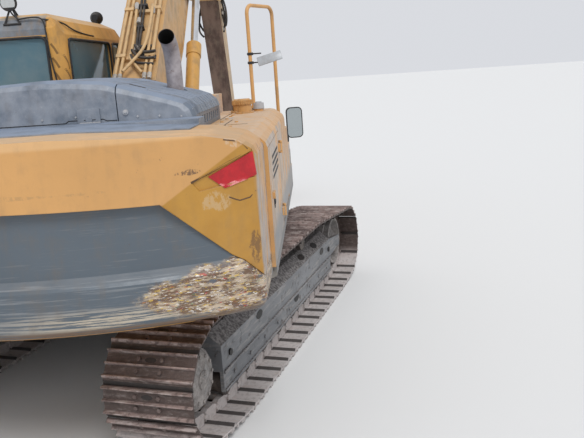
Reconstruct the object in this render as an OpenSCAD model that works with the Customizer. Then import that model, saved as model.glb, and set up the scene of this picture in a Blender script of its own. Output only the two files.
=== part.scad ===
/* [Undercarriage] */
// Turn of the upper structure on its ring, anticlockwise seen from above
swing_turn = 16; // [0:1:30]
// Distance between the middles of the two tracks
track_gauge = 2390; // [2300:10:2500]
// Width of a track shoe
shoe_w = 600; // [500:10:700]
// Distance between the sprocket and idler axles
tumbler_span = 3660; // [3500:10:3800]
// Length of one track link
link_pitch = 190; // [175:1:210]
// Radius of the pin circle on the sprocket
sprocket_r = 322; // [310:1:330]
// Teeth round a sprocket
sprocket_teeth = 21; // [19:1:25]
// Radius of the pin line round the idler
idler_r = 310; // [300:1:325]
// Height of the sprocket axle
sprocket_z = 480; // [460:5:500]
// Height of the idler axle
idler_z = 430; // [420:5:460]
// Lower rollers on each side
lower_rollers = 8; // [6:1:9]
// Width of a track frame box
frame_w = 290; // [260:10:300]

/* [Upper structure] */
// Width over the body panels
house_w = 2660; // [2600:10:2760]
// Radius of the tail about the swing axis
tail_r = 2850; // [2800:10:2900]
// Underside of the upper structure above the ground
house_z = 1060; // [1040:5:1090]
// Top of the body panels
deck_z = 2010; // [1950:5:2060]
// Length of the counterweight from its front face to the tail
counterweight_l = 880; // [800:10:950]
// Top of the counterweight
counterweight_z = 2105; // [2080:5:2120]
// Thickness of a folded body panel
panel_t = 40; // [30:1:50]
// Height of the engine cover above the deck
hood_h = 385; // [340:5:420]
// Outside diameter of the exhaust pipe
exhaust_d = 118; // [100:2:130]
// Seam between the two parts of the engine cover
panel_gap = 6; // [5:1:10]

/* [Cab] */
// Width of the cab
cab_w = 895; // [860:5:910]
// Length of the cab
cab_l = 1980; // [1940:10:2020]
// Place of the rear wall of the cab along the machine; the swing axis is at 0
cab_x = -280; // [-310:5:-260]
// Top of the cab roof
cab_z = 2955; // [2900:5:3000]
// Thickness of the cab walls
cab_wall = 45; // [35:1:50]

/* [Front] */
// Boom length between its end pins
boom_len = 5700; // [5600:10:5800]
// Width of the boom over its flanges
boom_w = 410; // [400:2:416]
// Angle of the boom above the ground, pin to pin
boom_angle = 18.6; // [15:0.1:22]
// Arm length between its end pins
arm_len = 2900; // [2800:10:2950]
// Width of the arm
arm_w = 310; // [300:2:314]
// Angle between boom and arm lines
arm_fold = 86.6; // [84:0.1:88]
// Width of the bucket
bucket_w = 1200; // [1000:10:1300]
// Depth of the bucket floor below the arm's tip pin
bucket_drop = 1030; // [1000:5:1040]
// Bore of the boom cylinders' tubes, outside
boom_tube_d = 150; // [140:2:156]
// Diameter of the boom cylinders' rods
boom_rod_d = 85; // [75:1:95]
// Diameter of the main hinge pins
pin_d = 90; // [80:1:100]

/* [Hidden] */
$fn = 48;

yellow = "#d9a13c";
slate = "#55616b";
steel = "#7d7468";
dirt = "#6b5a48";
black = "#26282a";
chrome = "#c9ccd0";

seat = 0.3;
pin_fit = 0.05;
weight_front = counterweight_l - tail_r;
floor_t = 45;
beam_top = house_z + 88;

// Plain helpers: a block by its corners, and outlines pushed along Y or X
module block(x0, x1, y0, y1, z0, z1) {
    translate([x0, y0, z0]) cube([x1 - x0, y1 - y0, z1 - z0]);
}
module along_y(y0, y1) {
    translate([0, y1, 0]) rotate([90, 0, 0]) linear_extrude(y1 - y0) children();
}
module along_x(x0, x1) {
    translate([x0, 0, 0]) rotate([90, 0, 90]) linear_extrude(x1 - x0) children();
}
module rod_y(x, z, r, y0, y1) {
    translate([x, y1, z]) rotate([90, 0, 0]) cylinder(r = r, h = y1 - y0);
}
module both_sides() {
    children();
    mirror([0, 1, 0]) children();
}
function dir(a) = [cos(a), sin(a)];
function unit(v) = v / norm(v);
function cross2(a, b) = a.x * b.y - a.y * b.x;

// A round bar or pipe through points of one plane, with an elbow at each corner that the straight
// lengths run into
function corner_trim(a, b, c, bend) =
    bend * tan(abs(atan2(cross2(unit(b - a), unit(c - b)), unit(b - a) * unit(c - b))) / 2);
elbow_d = 0.8;
elbow_in = 2;
module bent_bar(points, d, bend) {
    last = len(points) - 1;
    for (i = [0 : last - 1]) {
        a = points[i];
        b = points[i + 1];
        u = unit(b - a);
        start = i == 0 ? 0 : corner_trim(points[i - 1], a, b, bend) - elbow_in;
        end = i == last - 1 ? 0 : corner_trim(a, b, points[i + 2], bend) - elbow_in;
        translate([a.x + u.x * start, a.y + u.y * start, 0])
            rotate([0, 0, atan2(u.y, u.x)]) rotate([0, 90, 0])
                cylinder(d = d, h = norm(b - a) - start - end);
    }
    for (i = [1 : 1 : last - 1]) {
        u = unit(points[i] - points[i - 1]);
        v = unit(points[i + 1] - points[i]);
        turn = atan2(cross2(u, v), u * v);
        side = turn > 0 ? 1 : -1;
        trim = bend * tan(abs(turn) / 2);
        middle = points[i] - u * trim + [-u.y, u.x] * side * bend;
        first = atan2(u.y, u.x) - side * 90;
        translate([middle.x, middle.y, 0])
            rotate([0, 0, turn > 0 ? first : first + turn])
                rotate_extrude(angle = abs(turn)) translate([bend, 0]) circle(d = d + elbow_d);
    }
}
// The same bar standing in an upright plane at one Y
module bent_bar_y(y, points, d, bend) {
    translate([0, y, 0]) rotate([90, 0, 0]) bent_bar(points, d, bend);
}

// Undercarriage
module under_house() {
    rotate([0, 0, -swing_turn]) children();
}
frame_half = frame_w / 2;
tumbler_x = tumbler_span / 2;
shoe_in = 53;
rail_h = shoe_in - seat;
turn_gap = 14;
shoe_out = 63;
grouser_out = 89;
lower_tread_r = 79;
lower_roller_z = grouser_out + shoe_in + lower_tread_r;
lower_line_r = lower_tread_r + shoe_in;
lower_back_x = -1330;
lower_front_x = 1400;
carrier_tread_r = 78;
carrier_z = 723;
carrier_line_r = carrier_tread_r + shoe_in - 9;
carrier_xs = [-600, 650];
rail_y = [55, 100];

// Circles that the pin line runs round, anticlockwise from the sprocket: x, z, radius
TRACK_WHEELS = [
    [-tumbler_x, sprocket_z, sprocket_r],
    [lower_back_x, lower_roller_z, lower_line_r],
    [lower_front_x, lower_roller_z, lower_line_r],
    [tumbler_x, idler_z, idler_r],
    [carrier_xs[1], carrier_z, carrier_line_r],
    [carrier_xs[0], carrier_z, carrier_line_r]
];
wheels = len(TRACK_WHEELS);
function wheel(i) = TRACK_WHEELS[(i + wheels) % wheels];
function wheel_at(i) = [wheel(i)[0], wheel(i)[1]];
function span_dir(i) = atan2(wheel(i + 1)[1] - wheel(i)[1], wheel(i + 1)[0] - wheel(i)[0]);
function span_d(i) = norm(wheel_at(i + 1) - wheel_at(i));
function span_normal(i) = span_dir(i) - acos((wheel(i)[2] - wheel(i + 1)[2]) / span_d(i));
function line_len(i) = sqrt(pow(span_d(i), 2) - pow(wheel(i)[2] - wheel(i + 1)[2], 2));
function arc_sweep(i) = (span_normal(i + 1) - span_normal(i) + 720) % 360;
function arc_len(i) = arc_sweep(i) * PI / 180 * wheel(i + 1)[2];
function walk(s, i = 0) =
    s <= line_len(i) || i >= wheels ? wheel_at(i) + wheel(i)[2] * dir(span_normal(i)) + s * dir(span_normal(i) + 90)
    : s <= line_len(i) + arc_len(i)
        ? wheel_at(i + 1) + wheel(i + 1)[2] * dir(span_normal(i) + (s - line_len(i)) / wheel(i + 1)[2] * 180 / PI)
        : walk(s - line_len(i) - arc_len(i), i + 1);
function total_len(i = 0) = i == wheels ? 0 : line_len(i) + arc_len(i) + total_len(i + 1);
shoe_count = round(total_len() / link_pitch);
shoe_step = total_len() / shoe_count;
track_pins = [for (k = [0 : shoe_count - 1]) walk(k * shoe_step)];

// One shoe seen from the side: share of the pitch along the link, and height above the pin line
SHOE_PROFILE = [
    [0.02, shoe_out], [0.04, grouser_out], [0.14, shoe_out],
    [0.44, shoe_out], [0.50, grouser_out], [0.56, shoe_out],
    [0.86, shoe_out], [0.96, grouser_out], [0.98, shoe_out]
];
function shoe_edge(p, q) = [for (c = SHOE_PROFILE)
    p + (q - p) * c[0] + c[1] * [unit(q - p).y, -unit(q - p).x]];
function pin_at(k, v) =
    let (a = track_pins[(k + shoe_count - 1) % shoe_count], b = track_pins[(k + 1) % shoe_count])
    track_pins[k] + v * [unit(b - a).y, -unit(b - a).x];
function rail_reach(p) =
    p.y < lower_roller_z && p.x > lower_back_x + 130 && p.x < lower_front_x - 130 ? rail_h : rail_h - turn_gap;
module track_loop() {
    along_y(-shoe_w / 2, shoe_w / 2) difference() {
        polygon([for (k = [0 : shoe_count - 1])
            each shoe_edge(track_pins[k], track_pins[(k + 1) % shoe_count])]);
        polygon([for (k = [0 : shoe_count - 1]) pin_at(k, shoe_in)]);
    }
    for (s = [-1, 1]) along_y(s > 0 ? rail_y[0] : -rail_y[1], s > 0 ? rail_y[1] : -rail_y[0])
        difference() {
            polygon([for (k = [0 : shoe_count - 1]) pin_at(k, shoe_in + 4)]);
            polygon([for (k = [0 : shoe_count - 1]) pin_at(k, -rail_reach(track_pins[k]))]);
        }
}
module track_left() {
    color(dirt) under_house() translate([0, track_gauge / 2, 0]) track_loop();
}
module track_right() {
    color(dirt) under_house() translate([0, -track_gauge / 2, 0]) track_loop();
}

// Track frames: a box with a sloped roof, skirts that carry the rollers, and the drive bracket
frame_skirt = 27;
frame_ends = [-1440, 1480];
frame_floor = 345;
frame_skirt_z = 195;
frame_side_z = 540;
frame_ridge_z = 622;
drive_bracket_r = 246;
guide_end = 1900;
module track_frame() {
    along_x(frame_ends[0], frame_ends[1]) polygon([
        [-frame_half, frame_skirt_z], [frame_skirt - frame_half, frame_skirt_z],
        [frame_skirt - frame_half, frame_floor], [frame_half - frame_skirt, frame_floor],
        [frame_half - frame_skirt, frame_skirt_z], [frame_half, frame_skirt_z],
        [frame_half, frame_side_z], [40, frame_ridge_z], [-40, frame_ridge_z],
        [-frame_half, frame_side_z]
    ]);
    // Bracket that carries the travel drive, on the inner side
    along_y(-frame_half, -50) {
        translate([-tumbler_x, sprocket_z]) circle(r = drive_bracket_r);
        polygon([[-tumbler_x, sprocket_z - 150], [frame_ends[0] + 10, frame_floor],
            [frame_ends[0] + 10, frame_side_z], [-tumbler_x, sprocket_z + 150]]);
    }
    // Idler guides
    for (s = [-1, 1]) along_y(s > 0 ? frame_half - frame_skirt : -frame_half,
            s > 0 ? frame_half : frame_skirt - frame_half)
        polygon([[frame_ends[1] - 5, frame_floor], [guide_end, idler_z - 55],
            [guide_end, idler_z + 55], [frame_ends[1] - 5, frame_side_z]]);
    // Brackets of the carrier rollers
    for (x = carrier_xs) block(x - 60, x + 60, -frame_half, frame_skirt - frame_half,
        frame_side_z, carrier_z + 40);
}
module track_frames() {
    color(steel) under_house() both_sides()
        translate([0, track_gauge / 2, 0]) track_frame();
}

module turned(profile) {
    rotate([-90, 0, 0]) rotate_extrude() polygon(profile);
}
// Half section of a roller: radius, place along the shaft
function roller_profile(tread, flange, reach) = [
    [0, -reach], [30, -reach], [30, -112], [flange, -112], [flange, -104], [tread, -102],
    [tread, -50], [tread - 8, -46], [tread - 8, 46], [tread, 50], [tread, 102], [flange, 104],
    [flange, 112], [30, 112], [30, reach], [0, reach]
];
module rollers() {
    color(steel) under_house() both_sides() translate([0, track_gauge / 2, 0]) {
        for (k = [0 : lower_rollers - 1])
            translate([lower_back_x + k * (lower_front_x - lower_back_x) / (lower_rollers - 1), 0,
                    lower_roller_z])
                turned(roller_profile(lower_tread_r, lower_tread_r + 14, frame_half - frame_skirt));
        for (x = carrier_xs) translate([x, 0, carrier_z])
            turned([[0, frame_skirt - frame_half], [28, frame_skirt - frame_half], [28, -104],
                [carrier_tread_r, -104], [carrier_tread_r, 104], [40, 112], [0, 112]]);
    }
}

sprocket_w = 56;
drive_r = 226;
tooth_root = sprocket_r - 44;
tooth_tip = sprocket_r + 12;
tooth_step = 360 / sprocket_teeth;
module sprocket() {
    // Toothed ring
    along_y(-sprocket_w / 2, sprocket_w / 2) polygon([for (k = [0 : sprocket_teeth - 1]) each [
        tooth_root * dir((k - 0.27) * tooth_step), tooth_tip * dir((k - 0.10) * tooth_step),
        tooth_tip * dir((k + 0.10) * tooth_step), tooth_root * dir((k + 0.27) * tooth_step)
    ]]);
    // Final drive drum outside, hub flange inside
    turned([[0, sprocket_w / 2 - 1], [drive_r, sprocket_w / 2 - 1], [drive_r, 96], [drive_r - 26, 104],
        [drive_r - 26, 150], [drive_r - 56, 176], [60, 184], [60, 192], [0, 192]]);
    turned([[0, -50 + seat], [170, -50 + seat], [170, 1 - sprocket_w / 2], [0, 1 - sprocket_w / 2]]);
    for (k = [0 : 15]) rotate([0, k * 360 / 16, 0])
        rod_y(drive_r + 26, 0, 12, sprocket_w / 2 - 1, sprocket_w / 2 + 14);
}
module sprockets() {
    color(steel) under_house() both_sides()
        translate([-tumbler_x, track_gauge / 2, sprocket_z]) sprocket();
}
module idlers() {
    tread = idler_r - shoe_in;
    color(steel) under_house() both_sides() translate([tumbler_x, track_gauge / 2, idler_z])
        turned([[0, frame_skirt - frame_half], [45, frame_skirt - frame_half], [45, -90],
            [110, -82], [150, -30], [tread - 40, -30], [tread - 26, -102], [tread, -102],
            [tread, -46], [tread + 26, -40], [tread + 26, 40], [tread, 46], [tread, 102],
            [tread - 26, 102], [tread - 40, 30], [150, 30], [110, 82], [45, 90],
            [45, frame_half - frame_skirt], [0, frame_half - frame_skirt]]);
}

// Carbody: centre box, four sloped legs to the track frames, and a drawbar lug at each end
carbody_top = 880;
carbody_floor = 480;
ring_floor = 930;
leg_end_y = track_gauge / 2 - frame_half;
leg_xs = [[-900, -600], [600, 900]];
eye_x = 960;
eye_z = 560;
eye_r = 75;
eye_bore_r = 35;
lug_half = 20;
module carbody() {
    color(steel) under_house() {
        block(-900, 900, -440, 440, carbody_floor, carbody_top);
        translate([0, 0, carbody_top - 1]) cylinder(r = 660, h = ring_floor - carbody_top + 1);
        both_sides() for (x = leg_xs) along_x(x[0], x[1]) polygon([
            [430, carbody_floor], [leg_end_y, 400], [leg_end_y, 530], [760, 700], [430, carbody_top]
        ]);
        for (s = [-1, 1]) difference() {
            union() {
                translate([s * eye_x, 0, eye_z - lug_half]) cylinder(r = eye_r, h = 2 * lug_half);
                block(s > 0 ? 890 : -eye_x, s > 0 ? eye_x : -890, -eye_r, eye_r, eye_z - lug_half,
                    eye_z + lug_half);
            }
            translate([s * eye_x, 0, eye_z - lug_half - 1]) cylinder(r = eye_bore_r, h = 2 * lug_half + 2);
        }
    }
}
ring_r = 545;
ring_bore = 430;
module swing_ring() {
    ring_h = house_z - ring_floor - 14;
    color(steel) translate([0, 0, ring_floor]) rotate_extrude() polygon([
        [ring_bore, seat], [ring_r, seat], [ring_r, ring_h], [ring_bore, ring_h]
    ]);
}

// Upper frame: deck plate, ring race, side beams, and the upright plates of the boom foot
foot_x = 120;
foot_z = 1930;
base_x = 700;
base_z = 1400;
boom_half = boom_w / 2;
cheek_in = boom_half + 9;
cheek_t = 40;
cheek_out = cheek_in + cheek_t;
cyl_y = 310;
eye_half = 50;
lug_in = cyl_y + eye_half + 6;
lug_t = 28;
house_half = house_w / 2;
deck_back = weight_front + 10;
cab_side = 1345;
cab_right = cab_side - cab_w;
deck_front_right = 1480;
deck_front_left = 1760;
module cheek_outline() {
    difference() {
        union() {
            polygon([[-930, house_z + floor_t - 2], [-800, house_z + 190], [-330, 1560],
                [foot_x - 145, foot_z - 40], [foot_x, foot_z], [foot_x + 150, foot_z - 30],
                [foot_x + 310, foot_z - 290], [base_x - 150, base_z + 100], [base_x - 60, base_z + 100],
                [base_x + 100, base_z - 20], [base_x + 104, base_z - 110], [base_x + 200, house_z + floor_t - 2]]);
            translate([foot_x, foot_z]) circle(r = 150);
            translate([base_x, base_z]) circle(r = 112);
        }
        translate([-480, house_z + 230]) circle(r = 80);
    }
}
// Side beam with a rounded lower edge, drawn for the left side
beam_w = 80;
beam_r = 25;
module side_beam(x0, x1, top) {
    along_x(x0, x1) {
        translate([house_half - beam_r, house_z + beam_r]) circle(r = beam_r);
        polygon([[house_half - beam_w, top], [house_half - beam_w, house_z], [house_half - beam_r, house_z],
            [house_half, house_z + beam_r], [house_half, top]]);
    }
}
module house_frame() {
    color(slate) {
        translate([0, 0, house_z]) linear_extrude(floor_t) polygon([
            [deck_back, beam_w - house_half], [deck_back, house_half - beam_w],
            [deck_back + 60, house_half - 20], [deck_front_left, house_half - 20],
            [deck_front_left, 420], [1020, 400], [1020, -400], [deck_front_right, -420],
            [deck_front_right, 20 - house_half], [deck_back + 60, 20 - house_half]
        ]);
        both_sides() along_y(cheek_in, cheek_out) cheek_outline();
        // Outer lugs of the boom cylinders
        both_sides() along_y(lug_in, lug_in + lug_t) {
            translate([base_x, base_z]) circle(r = 112);
            polygon([[base_x - 330, house_z + floor_t - 2], [base_x - 108, base_z + 20],
                [base_x + 100, base_z + 20], [base_x + 104, base_z - 110],
                [base_x + 200, house_z + floor_t - 2]]);
        }
        // Side beams; under the cab the left one is no higher than the floor
        mirror([0, 1, 0]) side_beam(deck_back + 60, deck_front_right - 5, beam_top);
        side_beam(deck_back + 60, cab_x - 32, beam_top);
        side_beam(cab_x - 33, deck_front_left - 5, house_z + floor_t - 1);
        // Race of the swing ring
        translate([0, 0, ring_floor + 16]) rotate_extrude() polygon([
            [ring_r + seat, 0], [640, 0], [640, house_z - ring_floor - 15],
            [ring_r + seat, house_z - ring_floor - 15]
        ]);
        // Boom foot pin and cylinder base pins
        rod_y(foot_x, foot_z, pin_d / 2, -cheek_in - 2, cheek_in + 2);
        both_sides() rod_y(base_x, base_z, pin_d / 2, cheek_out - 2, lug_in + 2);
        both_sides() rod_y(base_x, base_z, pin_d / 2 + 16, lug_in + lug_t - 1, lug_in + lug_t + 6);
    }
}

// Counterweight: cast block that follows the tail radius, with a recess for the lower guard, a slanted
// facet at each rear corner, and a groove across the facet for the reflector
tail_half = house_half - 25;
corner_r = 110;
corner_y = tail_half - corner_r;
corner_x = -sqrt(pow(tail_r - corner_r, 2) - pow(corner_y, 2));
corner_a = atan2(corner_y, -corner_x);
recess_d = 70;
recess_top = counterweight_z - 355;
facet_y = 812;
facet_z = counterweight_z - 384;
facet_turn = [0, -3.5, 23.5];
groove_d = 12;
module tail_plan(inset) {
    half = tail_half - inset;
    // Where the corner's arc meets the tail's arc
    meet = [corner_x, corner_y] + (corner_r - inset) * [-cos(corner_a), sin(corner_a)];
    intersection() {
        circle(r = tail_r - inset, $fn = 180);
        polygon([[weight_front, -half], [weight_front, half], [corner_x, half], meet, 1.1 * meet,
            [-1.3 * tail_r, 0], [1.1 * meet.x, -1.1 * meet.y], [meet.x, -meet.y], [corner_x, -half]]);
    }
    for (s = [-1, 1]) translate([corner_x, s * corner_y]) circle(r = corner_r - inset);
}
module tail_front_view() {
    polygon([[-tail_half, house_z + 120], [60 - tail_half, house_z + 60], [-900, house_z],
        [900, house_z], [tail_half - 60, house_z + 60], [tail_half, house_z + 120],
        [tail_half, counterweight_z - 175], [tail_half - 22, counterweight_z - 129],
        [tail_half - 90, counterweight_z - 80], [tail_half - 260, counterweight_z - 38],
        [300, counterweight_z], [-300, counterweight_z], [260 - tail_half, counterweight_z - 38],
        [90 - tail_half, counterweight_z - 80], [22 - tail_half, counterweight_z - 129],
        [-tail_half, counterweight_z - 175]]);
}
// Outline of the recess across the tail: y, z
recess_half = [[0, recess_top], [facet_y, recess_top - 14], [1140, recess_top - 340],
    [1200, recess_top - 380], [tail_half + 100, recess_top - 600], [tail_half + 100, house_z - 1]];
module recess_view() {
    polygon([each recess_half, for (p = [len(recess_half) - 1 : -1 : 0])
        [-recess_half[p].x, recess_half[p].y]]);
}
// Space outside the slanted facet of the right corner, taken further in by the groove's depth
module facet_space(depth) {
    translate([-sqrt(pow(tail_r, 2) - pow(facet_y, 2)), -facet_y, facet_z]) rotate(facet_turn)
        block(-200, depth, -700, 900, -900, 500);
}
module groove_view() {
    polygon([[-975, recess_top + 80], [-1010, recess_top + 28], [-tail_half - 10, recess_top + 76],
        [-tail_half - 10, recess_top + 226]]);
}
module counterweight() {
    color(yellow) difference() {
        intersection() {
            translate([0, 0, house_z]) linear_extrude(counterweight_z - house_z) tail_plan(0);
            along_x(-tail_r - 10, weight_front + 1) tail_front_view();
        }
        difference() {
            along_x(-tail_r - 20, weight_front + 70) recess_view();
            translate([0, 0, house_z - 5]) linear_extrude(1000) tail_plan(recess_d);
        }
        both_sides() {
            facet_space(0);
            intersection() {
                facet_space(groove_d);
                along_x(-tail_r, weight_front + 70) groove_view();
            }
        }
    }
}
// Guard in the recess: an upper panel, a slanted ledge and a rounded lower band that goes round the corners
guard_back = seat - recess_d;
module guard_section(base) {
    polygon([[base + guard_back, house_z + 15], [base - 40, house_z + 15], [base - 14, house_z + 30],
        [base, house_z + 65], [base, house_z + 270], [base - 12, house_z + 288], [base - 50, house_z + 325],
        [base - 50, recess_top], [base + guard_back, recess_top]]);
}
module counterweight_bumper() {
    color(slate) intersection() {
        union() {
            rotate([0, 0, 180 - corner_a]) rotate_extrude(angle = 2 * corner_a, $fn = 180)
                guard_section(tail_r);
            both_sides() {
                translate([corner_x, -corner_y - seat, 0]) rotate([0, 0, 180 + corner_a])
                    rotate_extrude(angle = 90 - corner_a) guard_section(corner_r);
                mirror([0, 1, 0]) along_x(corner_x + seat, weight_front) guard_section(tail_half);
            }
        }
        along_x(-tail_r - 20, weight_front + 70) translate([0, -4]) recess_view();
    }
}

engine_x = [weight_front + 330, -960];
engine_top = 1880;
module engine_block() {
    color(black) {
        block(engine_x[0], engine_x[1], -690, 620, house_z + floor_t + 130, engine_top);
        both_sides() for (x = [engine_x[0] + 80, engine_x[1] - 80]) block(x - 50, x + 50, 420, 520,
            house_z + floor_t + seat, house_z + floor_t + 131);
    }
}

// Body panels: deck, chamfered shoulder strips, partitions, and the walls that do not open
shoulder = 95;
side_in = house_half - panel_t;
panel_floor = beam_top + seat;
door_floor = beam_top + 7;
bay_back = deck_back + 12;
right_bay = [weight_front + 90, -820];
left_rear_bay = [weight_front + 90, -900];
left_front_bay = [-840, cab_x - 80];
door_top = deck_z - shoulder - 12;
module shoulder_profile() {
    polygon([[house_half - 330, deck_z - 30], [house_half - shoulder - 6, deck_z - 30],
        [house_half - 30, deck_z - shoulder - 8], [house_half, deck_z - shoulder - 8],
        [house_half - 12, deck_z - shoulder + 28], [house_half - 44, deck_z - 38],
        [house_half - shoulder + 6, deck_z - 8], [house_half - shoulder - 30, deck_z],
        [house_half - 330, deck_z]]);
}
rim = 50;
deck_t = 30;
deck_top = deck_z - 2;
hood_x = [weight_front + 210, -560];
hood_right = -860;
hood_left = 995;
module cross_wall() {
    polygon([[cheek_out + 330, beam_top + seat], [side_in + 2, beam_top + seat],
        [side_in + 2, deck_z - shoulder - 12], [house_half - shoulder - 2, deck_z - 34],
        [house_half - shoulder - 2, deck_z - 28], [house_half - 321, deck_z - 28],
        [house_half - 321, deck_top - deck_t + 2], [cheek_out + 330, deck_top - deck_t + 2]]);
}
module body_panels() {
    color(yellow) {
        // Rounded shoulders, from the counterweight to the tank and to the cab
        mirror([0, 1, 0]) along_x(weight_front + seat, tank_x[0] - 4) shoulder_profile();
        along_x(weight_front + seat, cab_x - 30) shoulder_profile();
        // Deck plate round the engine bay
        translate([0, 0, deck_top - deck_t]) linear_extrude(deck_t) difference() {
            polygon([[weight_front + seat, 320 - house_half], [tank_x[0] - 4, 320 - house_half],
                [tank_x[0] - 4, tank_in + 4], [-230, tank_in + 4], [-230, cab_right - 40],
                [cab_x - 30, cab_right - 40],
                [cab_x - 30, house_half - 320], [weight_front + seat, house_half - 320]]);
            translate([hood_x[0] + rim, hood_right + rim])
                square([hood_x[1] - hood_x[0] - 2 * rim, hood_left - hood_right - 2 * rim]);
        }
        // Posts between the doors
        both_sides() block(weight_front + seat, right_bay[0] - 14, side_in, house_half,
            panel_floor, deck_z - shoulder - 4);
        block(right_bay[1] + 14, tank_x[0] - 4, -house_half, -side_in, panel_floor,
            deck_z - shoulder - 4);
        block(left_rear_bay[1] + 14, left_front_bay[0] - 14, side_in, house_half, panel_floor,
            deck_z - shoulder - 4);
        block(left_front_bay[1] + 14, cab_x - 30, side_in, house_half, panel_floor,
            deck_z - shoulder - 4);
        // Door hinges
        for (z = bay_hinge_z) {
            hinge_fixed(left_front_bay[1] + 12, house_half, 1, z);
            hinge_fixed(left_rear_bay[0] - 12, house_half, -1, z);
            mirror([0, 1, 0]) hinge_fixed(right_bay[1] + 12, house_half, 1, z);
        }
        // Lid hinges at the front of the engine cover
        for (y = lid_hinge_y) lid_hinge_fixed(y);
        // Cross walls
        mirror([0, 1, 0]) along_x(tank_x[0] - 34, tank_x[0] - 6) cross_wall();
        along_x(cab_x - 60, cab_x - 32) cross_wall();
    }
}

// Engine cover: a domed shell, split at a seam on the right; the right part has louvres
seam_y = -372;
hood_t = 30;
// Outer line of the cover across the machine, from right to left: y, z
hood_top_z = deck_z + hood_h;
hood_outer = [
    [hood_right, deck_top + seat], [hood_right - 6, deck_z + 110], [hood_right + 12, deck_z + 158],
    [hood_right + 52, deck_z + 196], [hood_right + 130, deck_z + 226], [-540, deck_z + 275],
    [-385, deck_z + 330], [-290, deck_z + 355], [-90, deck_z + 375], [110, hood_top_z],
    [460, deck_z + 370], [700, deck_z + 330], [820, deck_z + 290], [900, deck_z + 240],
    [hood_left - 30, deck_z + 160], [hood_left, deck_top + seat]
];
function toward(p, c, t) = p + unit(c - p) * t;
hood_heart = [0, deck_z - 300];
function hood_line(d) = [for (p = hood_outer) p.y < deck_z + 60 ? p : toward(p, hood_heart, d)];
hood_inner = [for (p = hood_outer) p.y < deck_z + 60 ? [p.x + (p.x < 0 ? hood_t : -hood_t), p.y - 1]
    : toward(p, hood_heart, hood_t)];
// Sections along the cover: share of the end's rounding, and how far the section is drawn in
HOOD_ENDS = [[0, 52], [20, 20], [60, 0]];
module hood_shell() {
    difference() {
        hull() for (e = HOOD_ENDS) {
            along_x(hood_x[0] + e[0], hood_x[0] + e[0] + 1) polygon(hood_line(e[1]));
            along_x(hood_x[1] - e[0] - 1, hood_x[1] - e[0]) polygon(hood_line(e[1]));
        }
        along_x(hood_x[0] + 62, hood_x[1] - 62) polygon(hood_inner);
        along_x(hood_x[0] + hood_t, hood_x[1] - hood_t) polygon([[hood_right + 60, deck_top - 1],
            [hood_right + 60, deck_z + 150], [-380, deck_z + 250], [700, deck_z + 250],
            [hood_left - 80, deck_z + 120], [hood_left - 60, deck_top - 1]]);
    }
}
louvre_n = 9;
louvre_x = [hood_x[0] + 150, hood_x[1] - 90];
louvre_w = 78;
louvre_step = (louvre_x[1] - louvre_x[0]) / louvre_n;
louvre_line = [for (i = [1 : 5]) hood_outer[i]];
module hood_fixed() {
    color(slate) difference() {
        union() {
            hood_shell();
            // Raised louvres over the right shoulder
            for (k = [0 : louvre_n - 1]) along_x(louvre_x[0] + k * louvre_step,
                    louvre_x[0] + k * louvre_step + louvre_w)
                polygon(flange(louvre_line, -louvre_h));
        }
        block(hood_x[0] - 5, hood_x[1] + 5, seam_y - panel_gap / 2, hood_left + 5, deck_z - 5, hood_top_z + 5);
        // Toothed row of vents under the louvres
        for (k = [0 : louvre_n - 1]) block(louvre_x[0] + k * louvre_step + 14,
            louvre_x[0] + k * louvre_step + louvre_w - 14, hood_right - 20, hood_right + 50,
            deck_z + 30, deck_z + 88);
        translate([exhaust_x, exhaust_y, deck_z + 100]) cylinder(r = exhaust_d / 2 + 28, h = 300);
    }
}
louvre_h = 14;
lid_hinge_y = [-160, 760];
lid_hinge_x = hood_x[1] + 24;
lid_hinge_z = deck_z + 34;
module lid_hinge_fixed(y) {
    rod_y(lid_hinge_x, lid_hinge_z, hinge_pin_r, y - 50, y + 50);
    for (k = [-1, 1]) block(lid_hinge_x - 12, lid_hinge_x + 12, y + k * 45 - 8, y + k * 45 + 8,
        deck_top - 1, lid_hinge_z + 12);
}
module lid_knuckle(y) {
    difference() {
        union() {
            rod_y(lid_hinge_x, lid_hinge_z, 14, y - 32, y + 32);
            block(hood_x[1] - 1, lid_hinge_x, y - 32, y + 32, lid_hinge_z - 2, lid_hinge_z + 14);
        }
        rod_y(lid_hinge_x, lid_hinge_z, hinge_pin_r + pin_fit, y - 40, y + 40);
    }
}
module hood_lid() {
    color(slate) {
        difference() {
            hood_shell();
            block(hood_x[0] - 5, hood_x[1] + 5, hood_right - 50, seam_y + panel_gap / 2, deck_z - 5,
                hood_top_z + 5);
        }
        for (y = lid_hinge_y) lid_knuckle(y);
        // Latch plate and knob on the rear face
        block(hood_x[0] - 8, hood_x[0] + 1, -260, -110, deck_z + 40, deck_z + 190);
        translate([hood_x[0] - 12, -185, deck_z + 120]) rotate([0, 90, 0]) cylinder(r = 22, h = 12);
    }
}

exhaust_x = -1010;
exhaust_y = -610;
exhaust_knee = [0, 650];
exhaust_bend = 200;
exhaust_end = 230;
exhaust_rise = 40;
exhaust_turn = 165;
module exhaust() {
    color(dirt) translate([exhaust_x, exhaust_y, engine_top + seat]) rotate([0, 0, exhaust_turn])
        rotate([90, 0, 0]) difference() {
            bent_bar([[0, 0], exhaust_knee, exhaust_knee + exhaust_end * dir(exhaust_rise)], exhaust_d,
                exhaust_bend);
            bent_bar([[0, 300], exhaust_knee, exhaust_knee + (exhaust_end + 5) * dir(exhaust_rise)],
                exhaust_d - 10, exhaust_bend);
        }
}

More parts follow.
